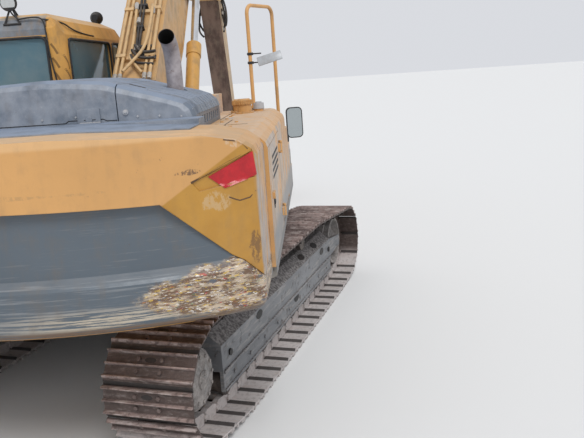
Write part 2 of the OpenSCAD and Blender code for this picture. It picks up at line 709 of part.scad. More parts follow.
// Tanks on the right side, ahead of the pump bay
tank_x = [-760, 430];
tank_split = -150;
tank_in = -cheek_out - 150;
tank_wall = 20;
module tank_profile() {
    polygon([[-tank_in, beam_top + seat], [house_half - 40, beam_top + seat],
        [house_half, beam_top + 40], [house_half, deck_z - shoulder - 8],
        [house_half - 12, deck_z - shoulder + 28], [house_half - 44, deck_z - 38],
        [house_half - shoulder + 6, deck_z - 8], [house_half - shoulder - 30, deck_z],
        [house_half - 330, deck_z], [house_half - 330, deck_top], [-tank_in, deck_top]]);
}
module tank(x0, x1) {
    difference() {
        mirror([0, 1, 0]) along_x(x0, x1) tank_profile();
        block(x0 + tank_wall, x1 - tank_wall, 60 - house_half, tank_in - tank_wall, beam_top + tank_wall,
            deck_z - 60);
    }
}
module tanks() {
    color(yellow) {
        tank(tank_x[0], tank_split - 4);
        tank(tank_split + 4, tank_x[1]);
        // Raised inner part of the front tank
        block(tank_split + 60, tank_x[1] - 60, -760, -520, deck_top - 2, deck_z + 170);
        // Filler caps
        for (c = FILLERS) translate([c[0], c[1], deck_z - 2]) cylinder(r = c[2], h = c[3]);
    }
}
// Filler caps: x, y, radius, height
FILLERS = [[-60, -1010, 62, 110], [120, -1120, 45, 60], [160, -960, 80, 100]];

// Tool box with two steps ahead of the tanks
module tool_box() {
    color(yellow) difference() {
        along_y(-house_half, box_w - house_half) polygon([
            [tank_x[1] + 4, beam_top + seat], [deck_front_right - 20, beam_top + seat],
            [deck_front_right - 20, step_z[0]], [1180, step_z[0]], [1180, step_z[1]], [820, step_z[1]],
            [820, step_z[2]], [tank_x[1] + 4, step_z[2]]]);
        block(tank_x[1] + 4 + tank_wall, 1180 - tank_wall, tank_wall - house_half,
            box_w - house_half - tank_wall, beam_top + tank_wall, step_z[1] - tank_wall);
    }
}
step_z = [1330, 1600, 1800];
box_w = 640;

rail_d = 34;
rail_top = 2955;
rail_foot = [360, -1055];
rail_turn = 26;
rail_span = 465;
module handrails() {
    color(yellow) {
        // Tall hoop from the top of the tank to the upper step of the tool box
        translate([rail_foot.x, rail_foot.y, 0]) rotate([0, 0, -rail_turn]) {
            bent_bar_y(0, [[0, deck_z + 4], [0, rail_top], [rail_span, rail_top],
                [rail_span, step_z[2] + 4]], rail_d, 80);
            block(-30, 30, -30, 30, deck_z + seat, deck_z + 40);
            block(rail_span - 30, rail_span + 30, -30, 30, step_z[2] + seat, step_z[2] + 14);
        }
        // Grab bar on the cab side
        bent_bar_y(house_half + 60, [[cab_x + 100, 1700], [cab_x + 100, 2500]], rail_d, 60);
        for (z = [1720, 2480]) rod_y(cab_x + 100, z, 12, cab_side + seat, house_half + 60);
    }
}
module mirrors() {
    color(black) {
        // Right mirror on a thin bent tube
        bent_bar_y(-1304, [[1400, 1500], [1540, 1560], [1600, 1740]], 20, 60);
        translate([1590, -1385, 1770]) rotate([0, 0, 12]) block(-15, 25, -92, 92, -170, 170);
        block(1385, 1425, -1324, -1284, step_z[0] + seat, 1520);
        // Left mirror beside the cab
        translate([door_x[1] + 42, cab_side + 150, 2200]) rotate([0, 0, -12]) block(-15, 25, -95, 95, -190, 190);
        translate([door_x[1] + 37, cab_side + seat, 2200]) rotate([-90, 0, 0]) cylinder(r = 10, h = 90);
    }
}
module lamp_body(x, y, z, tilt) {
    translate([x, y, z]) rotate([0, tilt, 0]) {
        rotate([0, 90, 0]) cylinder(r1 = 34, r2 = 62, h = 60, $fn = 32);
        translate([59, 0, 0]) rotate([0, 90, 0]) cylinder(r = 66, h = 22);
    }
}
lamp_x = 1330;
module lamps() {
    color(black) {
        lamp_body(lamp_x, cab_mid + 250, cab_z + 66, 0);
        lamp_body(lamp_x, cab_mid - 250, cab_z + 66, 0);
        for (s = [-1, 1]) block(lamp_x, lamp_x + 40, cab_mid + s * 250 - 18,
            cab_mid + s * 250 + 18, cab_z + seat, cab_z + 30);
        mirror([1, 0, 0]) lamp_body(-cab_x - 190, cab_mid + 290, cab_z + 66, 0);
        block(cab_x + 150, cab_x + 190, cab_mid + 272, cab_mid + 308, cab_z + seat, cab_z + 30);
        lamp_body(1070, -1000, 1700, 0);
        block(1080, 1120, -1018, -982, 1600 + seat, 1680);
    }
}

// Cab: rounded shell with window cut-outs
cab_mid = cab_right + cab_w / 2;
cab_floor_z = house_z + floor_t + 20;
cab_front = cab_x + cab_l;
module cab_side_view(t) {
    polygon([[cab_x + t, cab_floor_z + t], [cab_front - 60 - t, cab_floor_z + t],
        [cab_front - t, cab_floor_z + 160], [cab_front - t, 1950], [cab_front - 110 - t, 2760],
        [cab_front - 200 - t, cab_z - 40 - t], [cab_front - 320, cab_z - t], [cab_x + 120, cab_z - t],
        [cab_x + 40 + t, cab_z - 40 - t], [cab_x + t, cab_z - 130]]);
}
module cab_plan(t) {
    r = 90;
    for (x = [cab_x + r, cab_front - r]) for (y = [cab_right + r, cab_side - r])
        translate([x, y]) circle(r = r - t);
    translate([cab_x + r, cab_right + t]) square([cab_l - 2 * r, cab_w - 2 * t]);
    translate([cab_x + t, cab_right + r]) square([cab_l - 2 * t, cab_w - 2 * r]);
}
module cab_front_view(t) {
    polygon([[cab_right + t, cab_floor_z + t], [cab_side - t, cab_floor_z + t], [cab_side - t, cab_z - 150],
        [cab_side - 35 - t, cab_z - 60], [cab_side - 120, cab_z - t], [cab_right + 150, cab_z - t],
        [cab_right + 50 + t, cab_z - 60], [cab_right + t, cab_z - 180]]);
}
module cab_body(t) {
    intersection() {
        along_y(cab_right - 5, cab_side + 5) cab_side_view(t);
        translate([0, 0, cab_floor_z - 5]) linear_extrude(cab_z) cab_plan(t);
        along_x(cab_x - 5, cab_front + 5) cab_front_view(t);
    }
}
door_x = [620, 1530];
door_z = [1240, 2800];
module cab_windows(grow) {
    // Rear, right rear, right front, front upper, front lower, roof hatch
    block(cab_x - 20, cab_x + 80, cab_right + 135 - grow, cab_side - 135 + grow, 2130 - grow,
        2760 + grow);
    block(cab_x + 135 - grow, 1070 + grow, cab_right - 10, cab_right + 75, 2080 - grow, 2740 + grow);
    block(1150 - grow, door_x[1] + grow, cab_right - 10, cab_right + 75, 1640 - grow, 2740 + grow);
    block(cab_front - 240, cab_front + 30, cab_right + 110 - grow, cab_side - 110 + grow, 1740 - grow,
        2700 + grow);
    block(cab_front - 120, cab_front + 30, cab_right + 110 - grow, cab_side - 110 + grow, 1330 - grow,
        1640 + grow);
    block(900 - grow, 1280 + grow, cab_right + 200 - grow, cab_side - 200 + grow, cab_z - 100,
        cab_z + 20);
    // Left window behind the door
    block(cab_x + 135 - grow, 540 + grow, cab_side - 80, cab_side + 10, 2080 - grow, 2740 + grow);
}
module cab_shell() {
    color(yellow) {
        difference() {
            cab_body(0);
            cab_body(cab_wall);
            cab_windows(0);
            block(door_x[0] - 7, door_x[1] + 7, cab_side - cab_wall - 30, cab_side + 10,
                door_z[0] - 7, door_z[1] + 7);
        }
        // Door hinges
        for (z = cab_hinge_z) hinge_fixed(cab_hinge_x, cab_side, -1, z);
        // Mounting feet
        for (x = [cab_x + 160, cab_front - 200]) for (y = [cab_right + 135, cab_side - 140])
            translate([x, y, house_z + floor_t + seat]) cylinder(r = 60, h = 21);
    }
}
glass_t = 6;
module cab_glass() {
    color("#9fc4c8", 0.4) intersection() {
        difference() {
            cab_body(18);
            cab_body(18 + glass_t);
        }
        cab_windows(-seat);
    }
}
cab_in_z = cab_floor_z + cab_wall + seat;
module cab_interior() {
    color(black) {
        // Seat on its base, backrest and head rest
        block(560, 1060, 640, 1140, cab_in_z, 1560);
        block(520, 1080, 620, 1160, 1560, 1700);
        along_y(640, 1140) polygon([[520, 1700], [640, 1700], [600, 2300], [480, 2300]]);
        along_y(760, 1020) polygon([[478, 2320], [580, 2320], [560, 2500], [470, 2500]]);
        along_y(860, 920) polygon([[500, 2290], [560, 2290], [545, 2330], [500, 2330]]);
        // Side consoles
        for (y = [500, 1165]) block(520, 1180, y, y + 110, cab_in_z, 1820);
        // Levers
        for (y = [555, 1220]) translate([1120, y, 1810]) cylinder(r = 16, h = 190);
        for (y = [790, 960]) translate([1400, y, cab_in_z]) cylinder(r = 14, h = 620);
    }
}
// Bolt-on hinges: a pin held in a bracket on the post, and a knuckle on the door's skin
hinge_r = 13;
hinge_pin_r = 8;
hinge_out = 17;
knuckle_h = 60;
module hinge_fixed(x, y, side, z) {
    translate([x, y + hinge_out, z]) {
        translate([0, 0, -knuckle_h / 2 - 16]) cylinder(r = hinge_pin_r, h = knuckle_h + 32);
        for (k = [-1, 1]) translate([0, 0, k * (knuckle_h / 2 + 10) - 8]) {
            cylinder(r = hinge_r, h = 16);
            block(side > 0 ? 0 : -34, side > 0 ? 34 : 0, -hinge_out - 1, -2, 0, 16);
        }
    }
}
module hinge_knuckle(x, y, side, z) {
    translate([x, y + hinge_out, z]) difference() {
        union() {
            translate([0, 0, -knuckle_h / 2]) cylinder(r = hinge_r, h = knuckle_h);
            block(side > 0 ? -90 : 0, side > 0 ? 0 : 90, -hinge_out + 4, -2, -knuckle_h / 2, knuckle_h / 2);
            block(side > 0 ? -90 : 22, side > 0 ? -22 : 90, -hinge_out - 1, -2, -knuckle_h / 2, knuckle_h / 2);
        }
        translate([0, 0, -knuckle_h]) cylinder(r = hinge_pin_r + pin_fit, h = 2 * knuckle_h);
    }
}
cab_hinge_x = door_x[0] - 12;
cab_hinge_z = [1450, 2560];
bay_hinge_z = [1280, 1780];
// Cab door: skin with a set-back frame behind it, hinged on its rear edge
skin_t = 5;
set_back = 50;
pane_edge = 110;
pane_low = [door_z[0] + 140, door_z[0] + 500];
pane_high = [door_z[0] + 720, door_z[0] + 1420];
module cab_door() {
    color(yellow) difference() {
        union() {
            block(door_x[0], door_x[1], cab_side - skin_t, cab_side, door_z[0], door_z[1]);
            block(door_x[0] + set_back, door_x[1] - 20, cab_side - cab_wall + 2, cab_side - skin_t,
                door_z[0] + 20, door_z[1] - 20);
            block(door_x[1] - 190, door_x[1] - 60, cab_side - 1, cab_side + 22, pane_low[1] + 40,
                pane_low[1] + 70);
        }
        cab_door_opening(0);
    }
    color(yellow) for (z = cab_hinge_z) hinge_knuckle(cab_hinge_x, cab_side, -1, z);
}
module cab_door_opening(grow) {
    for (z = [pane_low, pane_high]) block(door_x[0] + pane_edge - grow, door_x[1] - pane_edge + grow,
        cab_side - 60, cab_side + 60, z[0] - grow, z[1] + grow);
}
module cab_door_glass() {
    color("#9fc4c8", 0.4) intersection() {
        block(door_x[0], door_x[1], cab_side - 24, cab_side - 24 + glass_t, door_z[0], door_z[1]);
        cab_door_opening(-seat);
    }
}

// Side doors: folded skin with an inner pan
module side_door(bay, side) {
    for (z = bay_hinge_z) hinge_knuckle(side > 0 ? bay[1] + 12 : bay[0] - 12, house_half, side, z);
    block(bay[0], bay[1], house_half - skin_t, house_half, door_floor, door_top);
    block(bay[0] + 48, bay[1] - 48, house_half - panel_t, house_half - skin_t, door_floor + 30,
        door_top - 30);
    block(side > 0 ? bay[0] + 70 : bay[1] - 150, side > 0 ? bay[0] + 150 : bay[1] - 70, house_half - 1,
        house_half + 16, 1560, 1600);
}
module door_left_front() {
    color(yellow) side_door(left_front_bay, 1);
}
module door_left_rear() {
    color(yellow) side_door(left_rear_bay, -1);
}
module door_right() {
    color(yellow) mirror([0, 1, 0]) side_door(right_bay, 1);
}

// Boom, drawn along its own pin line
module in_boom() {
    translate([foot_x, 0, foot_z]) rotate([0, -boom_angle, 0]) children();
}
module in_arm() {
    in_boom() translate([boom_len, 0, 0]) rotate([0, arm_fold, 0]) children();
}
module in_bucket() {
    in_arm() translate([arm_len, 0, 0]) rotate([0, boom_angle - arm_fold, 0]) children();
}
boom_eye = [2480, 640];
arm_base = [2600, 1440];
fork_in = arm_w / 2 + 8;
fork_depth = 530;
boom_top = [[-120, 120], [156, 370], [1280, 857], [2080, 1200], [2280, 1262], [2480, 1262],
    [2680, 1215], [4000, 735], [5420, 225]];
boom_belly = [[5460, -178], [4200, 210], [2960, 600], [2740, 620], [2520, 560], [1650, 190], [1000, 30],
    [120, -168]];
module boom_outline() {
    polygon([each boom_top, each boom_belly]);
    circle(r = 170);
    translate([boom_len, 0]) circle(r = 182);
    polygon([[5420, 225], [boom_len + 60, 172], [boom_len + 60, -172], [5460, -178]]);
}
// The box of the boom is hollow behind and ahead of the cylinders' cross tube
boom_plate = 22;
BOOM_HOLLOWS = [
    [[450, 450], [1280, 800], [2080, 1140], [2300, 1200], [2300, 530], [1640, 240], [990, 82], [450, -35]],
    [[2690, 1150], [4000, 678], [5080, 290], [5080, 0], [4210, 262], [2975, 652], [2780, 672], [2690, 700]]
];
function flange(line, t) = [each line, for (i = [len(line) - 1 : -1 : 0])
    line[i] - t * [-unit(line[min(i + 1, len(line) - 1)] - line[max(i - 1, 0)]).y,
        unit(line[min(i + 1, len(line) - 1)] - line[max(i - 1, 0)]).x]];
module boom() {
    color(yellow) in_boom() {
        difference() {
            union() {
                along_y(-boom_half + 8, boom_half - 8) boom_outline();
                along_y(-boom_half, boom_half) polygon(flange([for (i = [1 : len(boom_top) - 1]) boom_top[i]], -14));
                along_y(-boom_half, boom_half) polygon(flange([for (i = [0 : len(boom_belly) - 2]) boom_belly[i]], -14));
                // Foot boss, cylinder pin bosses and nose bosses
                rod_y(0, 0, 140, -boom_half - 6, boom_half + 6);
                rod_y(boom_eye.x, boom_eye.y, 105, 2 - cyl_y + eye_half, cyl_y - eye_half - 2);
                rod_y(boom_len, 0, 120, -boom_half - 12, boom_half + 12);
                // Lugs of the arm cylinder
                for (s = [-1, 1]) along_y(s > 0 ? 58 : -92, s > 0 ? 92 : -58) {
                    translate(arm_base) circle(r = 95);
                    polygon([[arm_base.x - 300, 1235], arm_base + [-70, 66], arm_base + [93, 20],
                        [arm_base.x + 100, 1190]]);
                }
            }
            for (h = BOOM_HOLLOWS) along_y(boom_plate - boom_half, boom_half - boom_plate) polygon(h);
            rod_y(0, 0, pin_d / 2 + pin_fit, -400, 400);
            // Fork for the arm
            along_y(-fork_in, fork_in) polygon([[boom_len - fork_depth, 500], [boom_len - fork_depth + 60, -400],
                [boom_len + 300, -400], [boom_len + 300, 500]]);
        }
        rod_y(boom_len, 0, pin_d / 2, -fork_in - 2, fork_in + 2);
        rod_y(arm_base.x, arm_base.y, pin_d / 2, -60, 60);
    }
}
pipe_d = 30;
boom_pipe_line = [for (i = [1 : len(boom_top) - 1]) boom_top[i]];
module boom_pipes() {
    color(yellow) in_boom() {
        for (y = [-158, -112, 112, 158]) bent_bar_y(y, [[150, 440], [2190, 1300], [2330, 1318]],
            pipe_d, 120);
        // Clamps across the back
        for (x = [420, 1040, 1660]) translate([x, 0, boom_back(x)]) rotate([0, -23.4, 0]) {
            block(-20, 20, -182, 182, 14.3, 48);
            for (s = [-1, 1]) block(-20, 20, s * 135 - 45, s * 135 + 45, 47, 84);
        }
    }
}
function boom_back(x) = 370 + (x - 156) * (857 - 370) / (1280 - 156);

// Hydraulic cylinders, drawn along X from the base pin
bore_start = 20;
end_wall = 40;
rod_fit = 0.6;
module tube(length, d, rod_d, eye_r, half) {
    neck = eye_r + 25;
    difference() {
        union() {
            rod_y(0, 0, eye_r, -half, half);
            along_y(-half, half) polygon([[0, -0.8 * eye_r], [neck + 10, -half], [neck + 10, half],
                [0, 0.8 * eye_r]]);
            translate([neck, 0, 0]) rotate([0, 90, 0]) cylinder(d = d, h = length - neck - 150);
            translate([length - 160, 0, 0]) rotate([0, 90, 0]) cylinder(d = d + 18, h = 160);
        }
        rod_y(0, 0, pin_d / 2 + pin_fit, -half - 1, half + 1);
        translate([neck + bore_start, 0, 0]) rotate([0, 90, 0])
            cylinder(d = d - 26, h = length - neck - bore_start - end_wall);
        translate([length - end_wall - 5, 0, 0]) rotate([0, 90, 0]) cylinder(d = rod_d + rod_fit, h = 60);
    }
}
module rod(length, inner_end, d, tube_d, eye_r, half, stub_in, stub_out) {
    translate([inner_end + 5, 0, 0]) rotate([0, 90, 0]) cylinder(d = d, h = length - inner_end - eye_r * 0.6);
    translate([inner_end, 0, 0]) rotate([0, 90, 0]) cylinder(d = tube_d - 27, h = end_wall);
    rod_y(length, 0, eye_r, -half, half);
    rod_y(length, 0, pin_d / 2, -stub_in, stub_out);
}
ear_in = 62;
arm_tube_d = 155;
arm_rod_d = 95;
bucket_tube_d = 130;
bucket_rod_d = 75;

// Boom cylinders
boom_tube_len = 1656;
boom_rod_in = 820;
boom_stub = eye_half + 1.7;
boom_eye_world = [foot_x + boom_eye.x * cos(boom_angle) - boom_eye.y * sin(boom_angle),
    foot_z + boom_eye.x * sin(boom_angle) + boom_eye.y * cos(boom_angle)];
boom_cyl_v = boom_eye_world - [base_x, base_z];
boom_cyl_len = norm(boom_cyl_v);
boom_cyl_a = atan2(boom_cyl_v.y, boom_cyl_v.x);
module in_boom_cyl(s) {
    translate([base_x, s * cyl_y, base_z]) rotate([0, -boom_cyl_a, 0]) children();
}
module boom_tube_left() {
    color(yellow) in_boom_cyl(1) tube(boom_tube_len, boom_tube_d, boom_rod_d, 95, eye_half);
}
module boom_tube_right() {
    color(yellow) in_boom_cyl(-1) tube(boom_tube_len, boom_tube_d, boom_rod_d, 95, eye_half);
}
module boom_rod_left() {
    color(chrome) in_boom_cyl(1) rod(boom_cyl_len, boom_rod_in, boom_rod_d, boom_tube_d, 90, eye_half,
        boom_stub, eye_half + 4);
}
module boom_rod_right() {
    color(chrome) in_boom_cyl(-1) rod(boom_cyl_len, boom_rod_in, boom_rod_d, boom_tube_d, 90, eye_half,
        eye_half + 4, boom_stub);
}

// Arm cylinder on the boom's back
arm_eye = [-720, 230];
arm_eye_boom = [boom_len + arm_eye.x * cos(-arm_fold) - arm_eye.y * sin(-arm_fold),
    arm_eye.x * sin(-arm_fold) + arm_eye.y * cos(-arm_fold)];
arm_cyl_v = arm_eye_boom - arm_base;
arm_cyl_len = norm(arm_cyl_v);
arm_cyl_a = atan2(arm_cyl_v.y, arm_cyl_v.x);
module in_arm_cyl() {
    in_boom() translate([arm_base.x, 0, arm_base.y]) rotate([0, -arm_cyl_a, 0]) children();
}
module arm_tube() {
    color(yellow) in_arm_cyl() tube(2130, arm_tube_d, arm_rod_d, 92, 52);
}
module arm_rod() {
    color(chrome) in_arm_cyl() rod(arm_cyl_len, 1010, arm_rod_d, arm_tube_d, 92, 50,
        ear_in - seat, ear_in - seat);
}

// Arm: box beam with a tail for the cylinder, drawn along its own pin line
link_pivot = [arm_len - 430, 70];
bucket_base = [560, 470];
arm_half = arm_w / 2;
tip_r = 112;
arm_plate = 16;
module arm() {
    color(dirt) in_arm() {
        difference() {
            union() {
                along_y(-arm_half, arm_half) {
                    polygon([[-40, -190], [150, -205], [arm_len - 60, -108], [arm_len, -tip_r],
                        [arm_len, tip_r], [arm_len - 340, 172], [arm_len - 520, 196], [900, 315],
                        [400, 350], [-120, 350], [-560, 300], [-560, 80]]);
                    translate([arm_len, 0]) circle(r = tip_r);
                    circle(r = 190);
                }
                // Tail ears for the arm cylinder
                for (s = [-1, 1]) along_y(s > 0 ? ear_in : -112, s > 0 ? 112 : -ear_in) {
                    translate(arm_eye) circle(r = 105);
                    polygon([[-550, 90], [-550, 310], arm_eye + [20, 103], arm_eye + [-20, -103]]);
                }
                // Lugs of the bucket cylinder
                for (s = [-1, 1]) along_y(s > 0 ? 54 : -86, s > 0 ? 86 : -54) {
                    translate(bucket_base) circle(r = 82);
                    polygon([[330, 330], bucket_base + [-60, 56], bucket_base + [80, 10], bucket_base + [86, -160]]);
                }
            }
            along_y(arm_plate - arm_half, arm_half - arm_plate) polygon([[300, -158], [arm_len - 620, -92],
                [arm_len - 620, 160], [900, 270], [420, 300], [300, 300]]);
            rod_y(0, 0, pin_d / 2 + pin_fit, -400, 400);
            rod_y(link_pivot.x, link_pivot.y, link_pin_d / 2 + pin_fit, -400, 400);
            rod_y(arm_len, 0, link_pin_d / 2 + pin_fit, -400, 400);
        }
        rod_y(bucket_base.x, bucket_base.y, pin_d / 2, -56, 56);
    }
}
link_pin_d = 80;
module arm_pipes() {
    color(yellow) in_arm() for (s = [-1, 1]) {
        bent_bar_y(s * 120, [[-120, 375], [420, 380], [520, 372]], pipe_d, 60);
        block(80, 120, s * 120 - 22, s * 120 + 22, 350 + seat, 392);
    }
}

// Bucket cylinder and linkage, drawn in the arm's frame
side_link_l = 620;
power_link_l = 610;
bucket_pin = 450;
bucket_pin_a = -20;
q_arm = [arm_len + bucket_pin * cos(bucket_pin_a - boom_angle + arm_fold),
    bucket_pin * sin(bucket_pin_a - boom_angle + arm_fold)];
gq = q_arm - link_pivot;
gq_d = norm(gq);
gh_part = (pow(side_link_l, 2) - pow(power_link_l, 2) + pow(gq_d, 2)) / (2 * gq_d);
h_arm = link_pivot + gh_part * unit(gq)
    + sqrt(pow(side_link_l, 2) - pow(gh_part, 2)) * [-unit(gq).y, unit(gq).x];
bucket_cyl_v = h_arm - bucket_base;
bucket_cyl_len = norm(bucket_cyl_v);
bucket_cyl_a = atan2(bucket_cyl_v.y, bucket_cyl_v.x);
module in_bucket_cyl() {
    in_arm() translate([bucket_base.x, 0, bucket_base.y]) rotate([0, -bucket_cyl_a, 0]) children();
}
module bucket_tube() {
    color(yellow) in_bucket_cyl() tube(1366, bucket_tube_d, bucket_rod_d, 80, 48);
}
module bucket_rod() {
    color(chrome) in_bucket_cyl() rod(bucket_cyl_len, 806, bucket_rod_d, bucket_tube_d, 80, 46,
        ear_in - seat, ear_in - seat);
}
link_in = arm_half + 8;
link_t = 35;
module side_links() {
    side_a = atan2(h_arm.y - link_pivot.y, h_arm.x - link_pivot.x);
    color(steel) in_arm() translate([link_pivot.x, 0, link_pivot.y]) rotate([0, -side_a, 0]) {
        both_sides() along_y(link_in, link_in + link_t) {
            circle(r = 85);
            translate([side_link_l, 0]) circle(r = 85);
            polygon([[0, -84], [side_link_l / 2, -66], [side_link_l, -84], [side_link_l, 84],
                [side_link_l / 2, 66], [0, 84]]);
        }
        rod_y(0, 0, link_pin_d / 2, -link_in - 2, link_in + 2);
        both_sides() rod_y(side_link_l, 0, 55, link_in + link_t - 1, link_in + link_t + 12);
    }
}
module power_link() {
    power_a = atan2(h_arm.y - q_arm.y, h_arm.x - q_arm.x);
    color(steel) in_arm() translate([q_arm.x, 0, q_arm.y]) rotate([0, -power_a, 0]) {
        difference() {
            union() {
                both_sides() along_y(ear_in, arm_half) {
                    translate([power_link_l, 0]) circle(r = 82);
                    polygon([[60, -80], [power_link_l, -81], [power_link_l, 81], [60, 80]]);
                }
                along_y(-arm_half, arm_half) {
                    circle(r = 88);
                    polygon([[0, -87], [170, -80], [170, 80], [0, 87]]);
                }
            }
            rod_y(0, 0, link_pin_d / 2 + pin_fit, -400, 400);
        }
    }
}

// Bucket, drawn level under the arm's tip pin with its teeth towards the machine
bucket_half = bucket_w / 2;
side_t = 28;
shell_t = 26;
heel = [60, -610];
heel_r = bucket_drop + heel.y;
lip_x = -860;
q_pin = bucket_pin * dir(bucket_pin_a);
module bucket_side(t) {
    r = heel_r - t;
    intersection() {
        union() {
            translate(heel) circle(r = r);
            polygon([[lip_x, -bucket_drop + t], [heel.x, -bucket_drop + t], heel,
                heel + r * dir(75), [-250, -205 - t], [-285, -260], [lip_x, -bucket_drop + 70]]);
        }
        translate([-1500, -bucket_drop]) square([3000, bucket_drop]);
    }
}
module bucket() {
    color(steel) in_bucket() {
        difference() {
            along_y(-bucket_half, bucket_half) bucket_side(0);
            along_y(-bucket_half + side_t, bucket_half - side_t) bucket_mouth();
        }
        // Ears for the arm's tip and the power link
        for (s = [-1, 1]) difference() {
            along_y(s > 0 ? arm_half + 8 : -arm_half - 46, s > 0 ? arm_half + 46 : -arm_half - 8) {
                circle(r = 105);
                translate(q_pin) circle(r = 95);
                polygon([[-100, -30], [-240, -212], [heel.x, heel.y + heel_r - 8],
                    heel + (heel_r - 8) * dir(40), q_pin + 92 * dir(-60), q_pin + 94 * dir(70),
                    104 * dir(70)]);
            }
        }
        rod_y(0, 0, link_pin_d / 2, -arm_half - 10, arm_half + 10);
        rod_y(q_pin.x, q_pin.y, link_pin_d / 2, -arm_half - 10, arm_half + 10);
    }
}
module bucket_mouth() {
    r = heel_r - shell_t;
    translate(heel) circle(r = r);
    polygon([[lip_x - 50, -bucket_drop + shell_t], [heel.x, -bucket_drop + shell_t], heel,
        heel + r * dir(75), [-250, -205 - shell_t - 12], [-500, -150], [lip_x - 300, -bucket_drop + 400]]);
}
tooth_n = 5;
module bucket_teeth() {
    color(steel) in_bucket() for (k = [0 : tooth_n - 1]) {
        y = -bucket_half + 70 + k * (bucket_w - 140) / (tooth_n - 1);
        along_y(y - 45, y + 45) polygon([[lip_x - 230, -bucket_drop + 2], [lip_x - seat, -bucket_drop],
            [lip_x - seat, -bucket_drop + 70], [lip_x - 60, -bucket_drop + 66]]);
    }
}

carbody();
swing_ring();
track_frames();
track_left();
track_right();
sprockets();
idlers();
rollers();
house_frame();
counterweight();
counterweight_bumper();
engine_block();
body_panels();
hood_fixed();
hood_lid();
exhaust();
tanks();
tool_box();
handrails();
mirrors();
lamps();
cab_shell();
cab_interior();
cab_glass();
cab_door();
cab_door_glass();
door_left_front();
door_left_rear();
door_right();
boom();
boom_pipes();
boom_tube_left();
boom_tube_right();
boom_rod_left();
boom_rod_right();
arm_tube();
arm_rod();
arm();
arm_pipes();
bucket_tube();
bucket_rod();
side_links();
power_link();
bucket();
bucket_teeth();
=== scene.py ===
import math
import bmesh
import bpy
from mathutils import Matrix, Vector
from mathutils.bvhtree import BVHTree


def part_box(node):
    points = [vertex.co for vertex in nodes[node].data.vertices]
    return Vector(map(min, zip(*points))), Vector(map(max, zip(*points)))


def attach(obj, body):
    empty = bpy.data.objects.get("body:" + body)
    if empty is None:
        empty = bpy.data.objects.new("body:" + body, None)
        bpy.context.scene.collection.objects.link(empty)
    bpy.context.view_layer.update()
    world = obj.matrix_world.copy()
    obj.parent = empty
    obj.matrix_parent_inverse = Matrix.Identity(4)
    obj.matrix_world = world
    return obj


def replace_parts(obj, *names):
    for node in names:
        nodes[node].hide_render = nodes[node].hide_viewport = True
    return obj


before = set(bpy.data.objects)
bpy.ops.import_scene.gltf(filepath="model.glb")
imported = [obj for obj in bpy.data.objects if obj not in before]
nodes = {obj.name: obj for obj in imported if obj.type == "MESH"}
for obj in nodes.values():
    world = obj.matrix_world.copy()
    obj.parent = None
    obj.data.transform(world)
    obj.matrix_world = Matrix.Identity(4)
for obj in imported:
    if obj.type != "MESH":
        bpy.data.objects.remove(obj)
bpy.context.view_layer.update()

# Viewpoint: behind and to the right of the machine, as high as the seat of another machine beside it.
# The lens is that of a telephone, so the tail of the machine comes out large.
camera = bpy.data.objects.new("camera", bpy.data.cameras.new("camera"))
bpy.context.scene.collection.objects.link(camera)
right, down, forward = (Vector(v) for v in (
    (0.0313, -0.9974, -0.0654), (-0.2193, 0.057, -0.974), (0.9752, 0.0448, -0.217)))
camera.matrix_world = Matrix.Translation((-6.13, -1.64, 2.38)) @ Matrix(
    (right, -down, -forward)).transposed().to_4x4()
photo_width, focal_pixels = 584, 683.8
camera.data.sensor_width = 36
camera.data.lens = focal_pixels / photo_width * 36
camera.data.clip_end = 400
bpy.context.scene.camera = camera

# Ground: a plain pale studio floor, level with the undersides of the track shoes.
# It is matt, so that it takes no more than the soft shadow of the machine.
floor_half_width = 120
floor_mesh = bmesh.new()
bmesh.ops.create_grid(floor_mesh, x_segments=2, y_segments=2, size=floor_half_width)
floor_data = bpy.data.meshes.new("floor")
floor_mesh.to_mesh(floor_data)
floor = bpy.data.objects.new("floor", floor_data)
bpy.context.scene.collection.objects.link(floor)
floor_paint = bpy.data.materials.new("floor_paint")
floor_paint.use_nodes = True
floor_sockets = floor_paint.node_tree.nodes["Principled BSDF"].inputs
floor_sockets["Base Color"].default_value = (0.74, 0.74, 0.73, 1)
floor_sockets["Roughness"].default_value = 0.9
floor_sockets["Specular IOR Level"].default_value = 0.1
floor_data.materials.append(floor_paint)

# Light: an overcast sky from above, slightly blue, and one large soft lamp high behind the viewer's
# right shoulder, which stands for the sun behind thin cloud.
world = bpy.data.worlds.new("sky")
world.use_nodes = True
sky = world.node_tree.nodes["Background"]
sky.inputs["Color"].default_value = (0.93, 0.95, 1.0, 1)
sky.inputs["Strength"].default_value = 0.75
bpy.context.scene.world = world
soft_lamp = bpy.data.objects.new("soft_lamp", bpy.data.lights.new("soft_lamp", "SUN"))
soft_lamp.data.energy = 1.6
soft_lamp.data.angle = math.radians(25)
soft_lamp.rotation_euler = [math.radians(angle) for angle in (38, -6, -62)]
bpy.context.scene.collection.objects.link(soft_lamp)
bpy.context.scene.view_settings.view_transform = "Standard"


